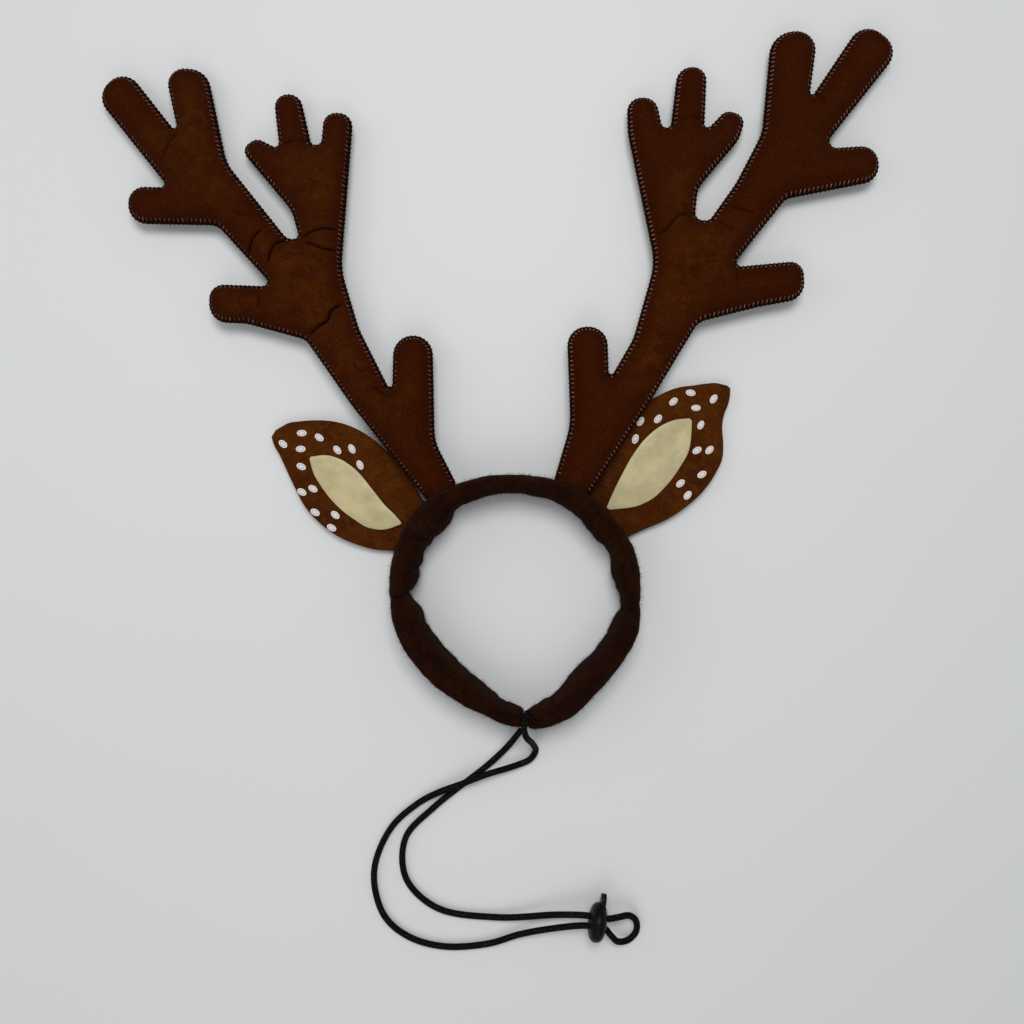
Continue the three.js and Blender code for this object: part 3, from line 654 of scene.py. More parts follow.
class Finish:
    """A material with one Principled shader, and short calls for the nodes that feed it."""

    def __init__(self, name, constants):
        self.material = bpy.data.materials.new(name)
        self.material.use_nodes = True
        self.nodes = self.material.node_tree.nodes
        self.links = self.material.node_tree.links
        self.shader = self.nodes["Principled BSDF"]
        for key, value in constants.items():
            self.shader.inputs[key].default_value = value
        self.place = self.nodes.new("ShaderNodeTexCoord").outputs["Object"]

    def add(self, kind, inputs=None, **settings):
        """A node with its settings, and its inputs linked or set."""
        made = self.nodes.new(kind)
        for key, value in settings.items():
            setattr(made, key, value)
        for key, value in (inputs or {}).items():
            if isinstance(value, bpy.types.NodeSocket):
                self.links.new(value, made.inputs[key])
            else:
                made.inputs[key].default_value = value
        return made

    def noise(self, size, detail=2, roughness=0.55, distortion=0, place=None):
        """Noise whose lumps have about this size in metres."""
        return self.add("ShaderNodeTexNoise", {
            "Vector": place or self.place, "Scale": 1 / size, "Detail": detail,
            "Roughness": roughness, "Distortion": distortion}).outputs["Fac"]

    def stretched(self, scale, place=None):
        """The object's coordinates, or other ones, scaled along each axis."""
        return self.add("ShaderNodeMapping", {
            "Vector": place or self.place, "Scale": scale}).outputs[0]

    def attribute(self, name):
        """A number stored on the mesh."""
        return self.add("ShaderNodeAttribute", attribute_name=name).outputs["Fac"]

    def spread(self, value, low, high, to_low=0.0, to_high=1.0):
        """The value's range from low to high, eased to another range."""
        return self.add("ShaderNodeMapRange", {
            "Value": value, "From Min": low, "From Max": high, "To Min": to_low,
            "To Max": to_high}, interpolation_type="SMOOTHSTEP").outputs["Result"]

    def math(self, operation, first, second=0.0):
        """A sum, product or other operation on two numbers."""
        made = self.add("ShaderNodeMath", operation=operation)
        for socket, value in zip(made.inputs, (first, second)):
            if isinstance(value, bpy.types.NodeSocket):
                self.links.new(value, socket)
            else:
                socket.default_value = value
        return made.outputs[0]

    def mix(self, share, first, second, blend_type="MIX"):
        """A colour between two others."""
        made = self.add("ShaderNodeMix", data_type="RGBA", blend_type=blend_type)
        for key, value in (("Factor_Float", share), ("A_Color", first), ("B_Color", second)):
            socket = next(s for s in made.inputs if s.identifier == key)
            if isinstance(value, bpy.types.NodeSocket):
                self.links.new(value, socket)
            elif key == "Factor_Float":
                socket.default_value = value
            else:
                socket.default_value = (*value, 1)
        return next(s for s in made.outputs if s.identifier == "Result_Color")

    def colour(self, socket):
        """Sends a colour to the shader."""
        self.links.new(socket, self.shader.inputs["Base Color"])

    def bump(self, *layers):
        """Bumps on bumps: each layer is a height, its strength and its depth in metres."""
        normal = None
        for height, strength, depth in layers:
            inputs = {"Height": height, "Strength": strength, "Distance": depth}
            if normal is not None:
                inputs["Normal"] = normal
            normal = self.add("ShaderNodeBump", inputs).outputs["Normal"]
        self.links.new(normal, self.shader.inputs["Normal"])


def shade(colour, *factors):
    """A colour made darker or lighter by one factor, or by one for each channel."""
    if len(factors) == 1:
        factors *= len(colour)
    return tuple(channel * factor for channel, factor in zip(colour, factors))


def felt_finish(name, colour, edge_dark):
    """Mottled wool felt: soft blotches, short fibres that lie across, and, where edge_dark isn't 0,
    painted light and shade by attributes: lighter at the lit places and darker, redder elsewhere,
    painted shade towards the edge and in the creases, and a darker sewn edge. The edge attribute is
    in mm."""
    felt = Finish(name, {"Roughness": 1.0, "Sheen Weight": 0.06, "Sheen Roughness": 0.5,
                         "Sheen Tint": (0.8, 0.35, 0.12, 1), "Specular IOR Level": 0.02})
    red = shade(colour, 0.6, 0.4, 0.9)
    light = shade(colour, 1.5, 1.9, 1.7)
    blotches = felt.spread(felt.noise(16 * MM, detail=4, roughness=0.62), 0.36, 0.6)
    patches = felt.spread(felt.noise(5 * MM, detail=3, roughness=0.6, distortion=0.6), 0.45, 0.68)
    fibres = felt.noise(0.6 * MM, detail=3, roughness=0.75, distortion=1.5)
    threads = felt.noise(1.4 * MM, detail=4, roughness=0.75, distortion=1.2,
                         place=felt.stretched((1, 3.0, 1)))
    pulls = felt.noise(4 * MM, detail=2, roughness=0.5, distortion=0.5,
                       place=felt.stretched((0.6, 1.6, 1)))
    if edge_dark:
        # Painted light: the felt is lighter and warmer at the lit places, and darker and redder elsewhere.
        warm = felt.attribute("warm")
        blotches = felt.math("MULTIPLY", blotches, felt.spread(warm, 0.0, 0.9, 0.05, 1.0))
        patches = felt.math("MULTIPLY", patches, felt.spread(warm, 0.1, 1.0, 0.12, 1.25))
    base = felt.mix(blotches, red, colour)
    base = felt.mix(felt.math("MULTIPLY", patches, 0.7), base, light)
    base = felt.mix(felt.spread(threads, 0.4, 0.66, 0.0, 0.75), base, shade(red, 0.55))
    base = felt.mix(felt.spread(fibres, 0.42, 0.66, 0.0, 0.6), base, shade(light, 1.15))
    if edge_dark:
        edge, crease_shade = felt.attribute("edge"), felt.attribute("crease_shade")
        # Painted shade: the felt darkens over the last 9.5 mm towards the edge, where the puffed felt turns
        # from the light.
        base = felt.mix(felt.spread(edge, 2.0, 9.5, 0.5, 0.0), base, shade(red, 0.75))
        base = felt.mix(felt.spread(edge, 0.9, 2.4, edge_dark, 0.0), base, shade(red, 0.25))
        # Painted shade in the creases of the stuffing.
        base = felt.mix(felt.spread(crease_shade, 0.1, 1.3, 0.0, 0.9), base, shade(red, 0.2))
    felt.colour(base)
    felt.bump((pulls, 0.5, 1.0 * MM), (threads, 0.7, 0.45 * MM), (fibres, 0.7, 0.25 * MM))
    return felt.material


def thread_finish():
    """Dark sewing thread with painted glints: a pale colour on the proud middle of each stitch, which fades
    towards the edge.
    """
    thread = Finish("stitch_thread", {"Roughness": 0.8, "Specular IOR Level": 0.1})
    pale, dark = (0.21, 0.105, 0.085), (0.010, 0.0032, 0.0018)
    twist = thread.noise(0.3 * MM, detail=2, roughness=0.6)
    # Painted glint: the pale colour stands for light glinting on the proud middle of each stitch.
    glint_share = thread.spread(thread.attribute("glint_share"), 0.2, 0.95)
    glint = thread.mix(thread.spread(twist, 0.3, 0.7), pale, shade(pale, 1.5))
    thread.colour(thread.mix(glint_share, dark, glint))
    thread.bump((twist, 0.5, 0.08 * MM))
    return thread.material


def band_finish(colour):
    """Short-pile cloth: dark brown with reddish purple clouds, streaks of pile that lie along the
    sleeve, tufts and fine, uneven pile."""
    cloth = Finish("band_cloth", {"Roughness": 1.0, "Sheen Weight": 0.04, "Sheen Roughness": 0.4,
                                  "Sheen Tint": (0.8, 0.4, 0.25, 1), "Specular IOR Level": 0.03})
    purple = shade(colour, 0.8, 0.5, 2.2)
    warm = shade(colour, 2.5, 2.7, 1.8)
    clouds = cloth.spread(cloth.noise(9 * MM, detail=4, roughness=0.6, distortion=0.4), 0.44, 0.6)
    grid = cloth.add("ShaderNodeCombineXYZ", {"X": cloth.attribute("along"),
                                              "Y": cloth.attribute("around")}).outputs[0]
    streaks = cloth.noise(1.5 * MM, detail=3, roughness=0.7, distortion=0.8,
                          place=cloth.stretched((0.3, 1, 1), grid))
    tufts = cloth.noise(1.3 * MM, detail=4, roughness=0.75, distortion=1.0)
    pile = cloth.noise(0.4 * MM, detail=2, roughness=0.7, distortion=1.0)
    cloudy = cloth.math("ADD", cloth.math("MULTIPLY", clouds, 0.75), 0.25)
    tufted = cloth.math("MULTIPLY", cloth.spread(tufts, 0.45, 0.64, 0.1, 0.85), cloudy)
    crease_shade = cloth.spread(cloth.attribute("crease_shade"), 0.15, 0.9, 0.0, 0.8)
    base = cloth.mix(clouds, purple, colour)
    base = cloth.mix(cloth.spread(streaks, 0.5, 0.7, 0.0, 0.7), base, shade(warm, 1.15))
    base = cloth.mix(tufted, base, warm)
    base = cloth.mix(cloth.spread(pile, 0.45, 0.72, 0.0, 0.6), base, shade(warm, 1.7))
    # Painted shade: the cloth is darkened in the folds of the sleeve.
    cloth.colour(cloth.mix(crease_shade, base, shade(purple, 0.3)))
    cloth.bump((streaks, 0.5, 0.5 * MM), (tufts, 0.8, 0.6 * MM), (pile, 0.8, 0.3 * MM))
    return cloth.material


def spot_finish():
    """White imitation leather with a thin greyish ring inside its rim."""
    spot = Finish("spot_vinyl", {"Roughness": 0.45, "Specular IOR Level": 0.3})
    grain = spot.noise(0.5 * MM, detail=2, roughness=0.6)
    grey = spot.mix(grain, (0.36, 0.29, 0.26), (0.56, 0.48, 0.44))
    spot.colour(spot.mix(spot.attribute("ring"), grey, (0.86, 0.84, 0.83)))
    spot.bump((grain, 0.3, 0.05 * MM))
    return spot.material


def vinyl_finish(colour):
    """Smooth imitation leather: a soft gloss, faint scuffs and a very fine grain."""
    vinyl = Finish("patch_vinyl", {"Roughness": 0.38, "Specular IOR Level": 0.35})
    clouds = vinyl.noise(9 * MM, detail=3, roughness=0.6)
    scuffs = vinyl.noise(1.1 * MM, detail=4, roughness=0.7, distortion=1.2,
                         place=vinyl.stretched((1, 2.4, 1)))
    grain = vinyl.noise(0.25 * MM, detail=1, roughness=0.5)
    crease_shade = vinyl.spread(vinyl.attribute("crease_shade"), 0.05, 0.9, 0.0, 0.5)
    base = vinyl.mix(vinyl.spread(clouds, 0.3, 0.7), shade(colour, 0.84), shade(colour, 1.1))
    base = vinyl.mix(vinyl.spread(scuffs, 0.5, 0.75, 0.0, 0.3), base, shade(colour, 0.78))
    # Painted shade in the creases of the patch.
    vinyl.colour(vinyl.mix(crease_shade, base, shade(colour, 0.6)))
    vinyl.bump((scuffs, 0.25, 0.12 * MM), (grain, 0.15, 0.03 * MM))
    return vinyl.material


def cord_finish(colour):
    """Braided elastic: charcoal yarns with painted shade in the braid's grooves, and painted highlights
    where the braid stands out: a lighter colour and paler flecks.
    """
    cord = Finish("cord_braid", {"Roughness": 0.6, "Specular IOR Level": 0.04})
    raised = cord.attribute("raised")
    flecks = cord.noise(0.6 * MM, detail=2, roughness=0.7, distortion=0.5)
    # Painted glints: pale flecks on the raised tops of the braid.
    painted_glints = cord.math("MULTIPLY", cord.spread(flecks, 0.5, 0.68), cord.spread(raised, 0.4, 0.9))
    # Painted shade and highlight: darker in the grooves of the braid, lighter on its raised tops.
    base = cord.mix(cord.spread(raised, 0.5, 0.95), shade(colour, 0.25), shade(colour, 2.2))
    cord.colour(cord.mix(painted_glints, base, shade(colour, 26)))
    cord.bump((flecks, 0.5, 0.08 * MM))
    return cord.material


def lock_finish(colour):
    """Moulded plastic with a satin surface and light handling marks."""
    plastic = Finish("lock_plastic", {"Specular IOR Level": 0.1})
    marks = plastic.noise(1.4 * MM, detail=5, roughness=0.7)
    grain = plastic.noise(0.2 * MM, detail=2, roughness=0.6)
    plastic.colour(plastic.mix(plastic.spread(marks, 0.4, 0.75), colour, shade(colour, 1.8)))
    plastic.links.new(plastic.spread(marks, 0.3, 0.8, 0.32, 0.5), plastic.shader.inputs["Roughness"])
    plastic.bump((grain, 0.15, 0.03 * MM))
    return plastic.material


def floor_finish(colour):
    """A plain pale floor with barely seen unevenness."""
    floor = Finish("floor_pale", {"Roughness": 0.55, "Specular IOR Level": 0.25})
    clouds = floor.noise(0.18, detail=2, roughness=0.5)
    floor.colour(floor.mix(clouds, shade(colour, 0.985), shade(colour, 1.015)))
    return floor.material


# Band

BAND_RINGS = 720
BAND_SIDES = 72
DOME_RINGS = 7
DOME_TIP = 0.3  # size of the last ring of a dome, as a share of the band's section
FOLD_OUTSIDE = 0.22  # depth of a fold on the outside of the ring, as a share of its whole depth
FOLD_START = 0.55  # cosine of the place round the section where a fold starts to deepen
FOLD_SPAN = 1.3  # and over how much of the cosine it deepens
FOLD_SHOULDER = 0.32
FOLD_SHOULDER_WIDTH = 2.3
FOLD_SHADE_WIDTH = 1 / 1.9
BAND_LUMPS = ((0.35 * MM, 7 * MM, 0), (0.21 * MM, 3.5 * MM, 2), (0.14 * MM, 1.7 * MM, 1))
BAND_SEED = 11
BAND_LOWEST = 0.02 * MM
PILE_HAIRS = 12000
PILE_SEED = 21
PILE_LENGTH = (0.7 * MM, 2.6 * MM)
PILE_SHORTENED = (0.5, 1)
PILE_RADIUS = 0.05 * MM
PILE_TAPER = (1, 0.8, 0.25)
PILE_LEAN = 0.66  # how far a hair leans at random, next to a normal of length one
PILE_CURL = 0.35  # how far its tip curls over, as a share of its length
PILE_ROOT = 0.1 * MM
PILE_LOWEST_ROOT = 1.5 * MM
PILE_LOWEST = 0.1 * MM


def band_limit(places, ring_radius):
    """The band's outer radius in the direction of places in the plane."""
    degrees = np.degrees(np.arctan2(places[..., 1], places[..., 0])) % 360
    turned = np.where(degrees < BAND_SECTIONS[0][0], degrees + 360, degrees)
    return ring_radius * table_at(BAND_SECTIONS, BAND_COLUMNS, "angle", turned)["reach"]


def fold_depth(angle, cosine):
    """How deep the sleeve is folded in at an angle in degrees, and how much painted shade it gets
    there: each fold is a valley between two low shoulders, and deeper on the inside of the ring."""
    inside = FOLD_OUTSIDE + (1 - FOLD_OUTSIDE) * smooth((FOLD_START - cosine) / FOLD_SPAN)
    depth = np.zeros(np.broadcast(angle, cosine).shape)
    crease_shade = np.zeros_like(depth)
    for middle, slant, width, deep in BAND_FOLDS:
        away = (angle - middle - slant * cosine) / width
        valley = bell(away) - FOLD_SHOULDER * bell(away, FOLD_SHOULDER_WIDTH)
        depth += deep * MM * inside * valley
        crease_shade += deep * inside * bell(away, FOLD_SHADE_WIDTH)
    return depth, crease_shade


def band_surface(sizes):
    """A rounded rectangle carried round the ring: thickness, depth, reach and lean follow the
    table, folds cut across it, the back is pressed flat, and both ends close in a dome."""
    first, last = BAND_SECTIONS[0][0], BAND_SECTIONS[-1][0]
    dome = np.linspace(math.pi / 2, 0, DOME_RINGS, endpoint=False)
    angle = np.concatenate([
        np.full(DOME_RINGS, first), np.linspace(first, last, BAND_RINGS), np.full(DOME_RINGS, last)])
    along = np.concatenate([
        -BAND_DOME * np.sin(dome), np.zeros(BAND_RINGS), BAND_DOME * np.sin(dome[::-1])])
    narrowed = DOME_TIP + (1 - DOME_TIP) * np.cos(dome)
    scale = np.concatenate([narrowed, np.ones(BAND_RINGS), narrowed[::-1]])[:, None]
    row = {k: v[:, None] for k, v in table_at(BAND_SECTIONS, BAND_COLUMNS, "angle", angle).items()}
    around = (np.arange(BAND_SIDES) + 0.5) / BAND_SIDES * 2 * math.pi
    power = 2 / BAND_SQUARENESS
    cosine = squared_off(np.cos(around), power)[None]
    sine = squared_off(np.sin(around), power)[None]
    folded, crease_shade = fold_depth(angle[:, None], np.cos(around)[None])
    half_thick = sizes.band_thickness * row["thick"] / 2 * scale
    half_deep = sizes.band_depth * row["deep"] / 2 * scale
    across = (half_thick - folded) * cosine
    up = (half_deep - folded) * sine
    lean = np.radians(row["lean"])
    turn = np.radians(angle)[:, None]
    middle = sizes.ring_radius * row["reach"] - sizes.band_thickness * row["thick"] / 2
    radius = middle + across * np.cos(lean) + up * np.sin(lean)
    height = (sizes.band_depth / 2 - BAND_FLATTENED) + up * np.cos(lean) - across * np.sin(lean)
    points = np.stack([
        radius * np.cos(turn) - along[:, None] * np.sin(turn),
        radius * np.sin(turn) + along[:, None] * np.cos(turn), height], axis=-1)
    outward = unit(np.stack([
        cosine * np.cos(turn), cosine * np.sin(turn), sine * np.ones_like(turn)], axis=-1))
    points += outward * layered_noise(points, BAND_LUMPS, BAND_SEED)[..., None]
    points[..., 2] = np.maximum(points[..., 2], BAND_LOWEST)
    details = {"crease_shade": crease_shade, "along": np.broadcast_to(turn * sizes.ring_radius, crease_shade.shape),
               "around": np.broadcast_to(around * sizes.band_depth / 2, crease_shade.shape)}
    return points, details, outward


def pile_hairs(points, outward, count, seed):
    """Short stray hairs: each stands out of a random place of a surface and curls over by the
    square of the way along it."""
    random = np.random.default_rng(seed)
    flat, normals = points.reshape(-1, 3), outward.reshape(-1, 3)
    above = np.flatnonzero(flat[:, 2] > PILE_LOWEST_ROOT)
    chosen = random.choice(above, count, replace=False)
    length = random.uniform(*PILE_LENGTH, count) * random.uniform(*PILE_SHORTENED, count)
    length = length[:, None, None]
    lean = unit(normals[chosen] + PILE_LEAN * random.normal(size=(count, 3)))
    curl = unit(random.normal(size=(count, 3)))
    share = np.linspace(0, 1, len(PILE_TAPER))[None, :, None]
    root = (flat[chosen] - PILE_ROOT * normals[chosen])[:, None]
    paths = root + share * length * lean[:, None] + PILE_CURL * share ** 2 * length * curl[:, None]
    paths[..., 2] = np.maximum(paths[..., 2], PILE_LOWEST)
    return many_tubes(paths, unit(np.cross(lean, curl)), PILE_RADIUS * np.array(PILE_TAPER), 3)


# Antlers

OUTLINE_STEP = 0.8 * MM
CORNER_ROOM = 0.99  # the share of an edge's half that a corner's arc may take
SHARP_CORNER = 0.3 * MM  # an arc that would reach less far is left a corner
SEAT_GAP = 0.1 * MM
RIM_RINGS = (0.15 * MM, 0.35 * MM, 0.6 * MM, 0.95 * MM, 1.4 * MM, 1.95 * MM, 2.6 * MM)
RIM_WIDTH = 1.15 * MM
RIM_HALF = 1.0 * MM
RIM_ROUND = 0.6 * MM
FELT_GRID = 1.0 * MM
GRID_START = 0.6  # how far inside the last ring the grid starts, in its own spacing
FILLING_SPACE = 0.93  # a point nearer to the edge than this share of its distance is left out
FILLING_GAP = 0.45 * MM
MERGED = 1e-9
EDGE_HALF = 0.1 * MM
PUFF_REACH = 0.62  # where the felt is at its full puff, as a share of the tine width
PUFF_POWER = 1.15
SMOOTHED_FROM = 2.4 * MM
SMOOTHINGS = 60
STUFFING_LUMPS = ((0.55 * MM, 13 * MM, 0), (0.22 * MM, 6 * MM, 1), (0.1 * MM, 2.2 * MM, 2))
LUMPS_FROM = 1 * MM
LUMPS_RISE = 5 * MM
BACK_LUMPS = 0.6
FELT_LOWEST = 0.05 * MM
CREASES_FROM = 0.2 * MM
CREASES_RISE = 1.5 * MM
CREASES_HEIGHT = ANTLER_SEAM_FRONT + 2 * MM
CREASE_STEPS = 6
CREASE_REACH = 40 * MM
CREASE_FADE = 0.22  # the share of a crease's length over which it fades out
CREASE_END = 0.15
CREASE_SHOULDER = 0.3
CREASE_SHOULDER_WIDTH = 2.6
CREASE_SHADE_WIDTH = 0.55
STITCH_RADIUS = 0.24 * MM
STITCH_SIDES = 5
STITCH_TIP = 0.7
STITCH_SLANT = 0.35 * MM
STITCH_START = 0.75  # of a pitch, from the band to the first stitch
STITCH_LEAST_REACH = 0.3 * MM
GLINT_DIMMEST = 0.55
# One whip stitch over the edge. inward: from the edge, in mm; face: front or back; lift: from
# the felt's surface, in mm; glint share: how much painted glint, a pale thread colour, it gets there.
STITCH_PATH = (
    (2.1, 1, -0.3, 0.5),
    (1.85, 1, 0.1, 1),
    (1.45, 1, 0.16, 1),
    (1.05, 1, 0.1, 0.75),
    (0.6, 1, 0.02, 0.15),
    (0.2, 1, -0.02, 0),
    (-0.08, 1, -0.6, 0),
    (-0.08, -1, -0.6, 0),
    (0.3, -1, 0.0, 0.2),
    (1.0, -1, 0.15, 1),
    (1.9, -1, -0.2, 0.6),
)


def rounded_outline(corners, step):
    """A closed outline whose corners are arcs of their own radius, and whose edges are straight."""
    places = np.array([c[:2] for c in corners])
    pieces = []
    for k, (_, _, radius) in enumerate(corners):
        here, before, after = places[k], places[k - 1], places[(k + 1) % len(places)]
        back, ahead = unit(before - here), unit(after - here)
        half = math.acos(np.clip(back @ ahead, -1, 1)) / 2
        room = min(np.linalg.norm(before - here), np.linalg.norm(after - here)) / 2
        reach = min(radius / math.tan(half), CORNER_ROOM * room)
        if reach < SHARP_CORNER:
            pieces.append(here[None])
            continue
        radius = reach * math.tan(half)
        sweep = math.pi - 2 * half
        centre = here + unit(back + ahead) * radius / math.sin(half)
        spoke = here + back * reach - centre
        side = np.sign(back[0] * ahead[1] - back[1] * ahead[0])
        facets = max(2, math.ceil(radius * sweep / step))
        turn = -side * sweep * np.linspace(0, 1, facets + 1)
        pieces.append(centre + np.stack([
            spoke[0] * np.cos(turn) - spoke[1] * np.sin(turn),
            spoke[0] * np.sin(turn) + spoke[1] * np.cos(turn)], axis=1))
    line = np.vstack(pieces)
    closed = np.vstack([line, line[:1]])
    return even_line(closed, round(arc_lengths(closed)[-1] / step) + 1)[:-1]


def cut_to_band(outline, ring_radius):
    """The run of outline points outside the band, and the arc of the band that closes it."""
    outside = np.hypot(*outline.T) > band_limit(outline, ring_radius) + SEAT_GAP
    start = np.flatnonzero(outside & ~np.roll(outside, 1))[0]
    run = np.roll(outline, -start, axis=0)[:outside.sum()]
    ends = np.arctan2(run[[-1, 0], 1], run[[-1, 0], 0])
    steps = max(4, round(abs(ends[1] - ends[0]) * ring_radius / OUTLINE_STEP))
    turn = np.linspace(ends[0], ends[1], steps + 1)[1:-1]
    spokes = np.stack([np.cos(turn), np.sin(turn)], axis=1)
    return run, (band_limit(spokes, ring_radius) + SEAT_GAP)[:, None] * spokes


def inward_of(line):
    """The direction into a counter-clockwise outline at each of its points."""
    along = unit(np.gradient(line, axis=0))
    return np.stack([-along[:, 1], along[:, 0]], axis=1)


def felt_height(distance, sizes):
    """Half the thickness at a distance from the sewn edge: a round rim where the two felts are
    pressed together, then a quarter ellipse up to the full puff."""
    rim = RIM_HALF * np.sqrt(1 - (1 - np.clip(distance / RIM_ROUND, 0, 1)) ** 2)
    reach = PUFF_REACH * sizes.tine_width - RIM_WIDTH
    share = np.clip((distance - RIM_WIDTH) / reach, 0, 1)
    puff = (sizes.antler_puff - RIM_HALF) * np.sqrt(1 - (1 - share) ** 2) ** PUFF_POWER
    return EDGE_HALF + rim + puff


def seam_height(y, seat_y, height):
    """Height of the antler's seam plane over the floor, which drops towards the tips."""
    return ANTLER_SEAM_FRONT + (ANTLER_SEAM_TIP - ANTLER_SEAM_FRONT) * (y - seat_y) / height


def crease_depth(places, creases, height):
    """How deep the creases are at places on the front, and how strong the painted shade in them is: a
    valley along each line that fades out at the line's ends, between two low shoulders."""
    depth = np.zeros(len(places))
    strength = np.zeros(len(places))
    for pixels, deep, width in creases:
        line = eased_line(photo_place(*np.array(pixels, float).T, height), CREASE_STEPS)
        near = np.flatnonzero(np.linalg.norm(places - line.mean(0), axis=1) < CREASE_REACH)
        gap, share = distance_to_line(places[near], line, closed=False)
        away = gap / (width * MM)
        fade = smooth(np.minimum(share, 1 - share) / CREASE_FADE + CREASE_END)
        valley = bell(away) - CREASE_SHOULDER * bell(away, CREASE_SHOULDER_WIDTH)
        depth[near] += deep * MM * fade * valley
        strength[near] += deep * fade * bell(away, CREASE_SHADE_WIDTH)
    return depth, strength


def smoothed(values, triangles, free, times):
    """Each free value drawn to the mean of its neighbours, again and again."""
    edges = np.vstack([triangles[:, [0, 1]], triangles[:, [1, 2]], triangles[:, [2, 0]]])
    edges = np.unique(np.sort(edges, axis=1), axis=0)
    count = np.bincount(edges.ravel(), minlength=len(values))
    for _ in range(times):
        total = (np.bincount(edges[:, 0], values[edges[:, 1]], len(values))
                 + np.bincount(edges[:, 1], values[edges[:, 0]], len(values)))
        values = np.where(free, total / np.maximum(count, 1), values)
    return values


def antler_outline(antler, height, sizes):
    """The antler's rounded outline in the plane, counter-clockwise."""
    seat, side = antler["seat"], antler["side"]
    corners = [(seat[0] + side * x * height, seat[1] + y * height, r * sizes.tine_width)
               for x, y, r in antler["outline"]]
    outline = rounded_outline(corners, OUTLINE_STEP)
    following = np.roll(outline, -1, axis=0)
    area = np.sum(outline[:, 0] * following[:, 1] - outline[:, 1] * following[:, 0])
    return outline[::-1] if area < 0 else outline


def felt_triangles(outline, run, arc, inward, ring_radius):
    """Fills the outline with triangles, whose points are rings beside the sewn edge and a grid
    inside them. Gives the points, the triangles, the border in order, and each point's distance to
    the edge."""
    border = np.vstack([run, arc])
    low, high = border.min(0), border.max(0)
    columns, rows = np.meshgrid(
        np.arange(low[0], high[0], FELT_GRID), np.arange(low[1], high[1], FELT_GRID * math.sqrt(3) / 2))
    columns = columns + FELT_GRID / 2 * (np.arange(len(rows)) % 2)[:, None]
    grid = np.stack([columns.ravel(), rows.ravel()], axis=1)
    filling = np.vstack([*(run + inward * distance for distance in RIM_RINGS), grid])
    asked = np.concatenate([
        np.repeat(RIM_RINGS, len(run)), np.full(len(grid), RIM_RINGS[-1] + GRID_START * FELT_GRID)])
    away, _ = distance_to_line(filling, outline, closed=True)
    beyond = np.hypot(*filling.T) > band_limit(filling, ring_radius) + FILLING_GAP
    points = np.vstack([border, filling[(away > FILLING_SPACE * asked) & beyond]])
    count = len(border)
    loop = [(k, (k + 1) % count) for k in range(count)]
    places, _, faces, origins, _, _ = delaunay_2d_cdt(
        points.tolist(), loop, [list(range(count))], 1, MERGED)
    places = np.array([tuple(place) for place in places])
    triangles = np.array([face for face in faces if len(face) == 3])
    first_of = np.array([origin[0] if origin else -1 for origin in origins])
    ring = np.flatnonzero(np.isin(first_of, np.arange(count)))
    ring = ring[np.argsort(first_of[ring])]
    away, _ = distance_to_line(places, outline, closed=True)
    return places, triangles, ring, away


def painted_light(places):
    """How much painted light the felt gets at places in the plane: the nearest lit place's bell."""
    warm = np.zeros(len(places))
    for u, v, reach in LIT_PLACES:
        gap = np.linalg.norm(places - photo_place(u, v, ANTLER_SEAM_FRONT), axis=1)
        warm = np.maximum(warm, bell(gap, reach / PIXELS_PER_MM * MM))
    return warm


def antler_surface(antler, height, sizes, creases, seed):
    """A stuffed felt shape: half its thickness follows the distance to the edge, over and under the
    seam plane, with stuffing lumps and, on the front, creases."""
    outline = antler_outline(antler, height, sizes)
    run, arc = cut_to_band(outline, sizes.ring_radius)
    inward = inward_of(run)
    places, triangles, ring, away = felt_triangles(outline, run, arc, inward, sizes.ring_radius)
    half = smoothed(felt_height(away, sizes), triangles, away > SMOOTHED_FROM, SMOOTHINGS)
    seam = seam_height(places[:, 1], antler["seat"][1], height)
    flat = np.column_stack([places, np.zeros(len(places))])
    lumps = layered_noise(flat, STUFFING_LUMPS, seed) * smooth((away - LUMPS_FROM) / LUMPS_RISE)
    sunk, strength = crease_depth(places, creases, CREASES_HEIGHT)
    keep = smooth((away - CREASES_FROM) / CREASES_RISE)
    front = np.column_stack([places, seam + half + lumps - sunk * keep])
    back = np.column_stack([places, np.maximum(seam - half - lumps * BACK_LUMPS, FELT_LOWEST)])
    after = np.roll(ring, -1)
    total = len(places)
    wall = np.stack([ring, ring + total, after + total, after], axis=1)
    faces = [triangles, triangles[:, ::-1] + total, wall[:, ::-1]]
    # The warm and crease attributes carry painted light at the lit places and painted shade in the creases.
    details = {"edge": np.tile(away / MM, 2), "crease_shade": np.tile(strength * keep, 2),
               "warm": np.tile(painted_light(places), 2)}
    return np.vstack([front, back]), faces, details, run, inward


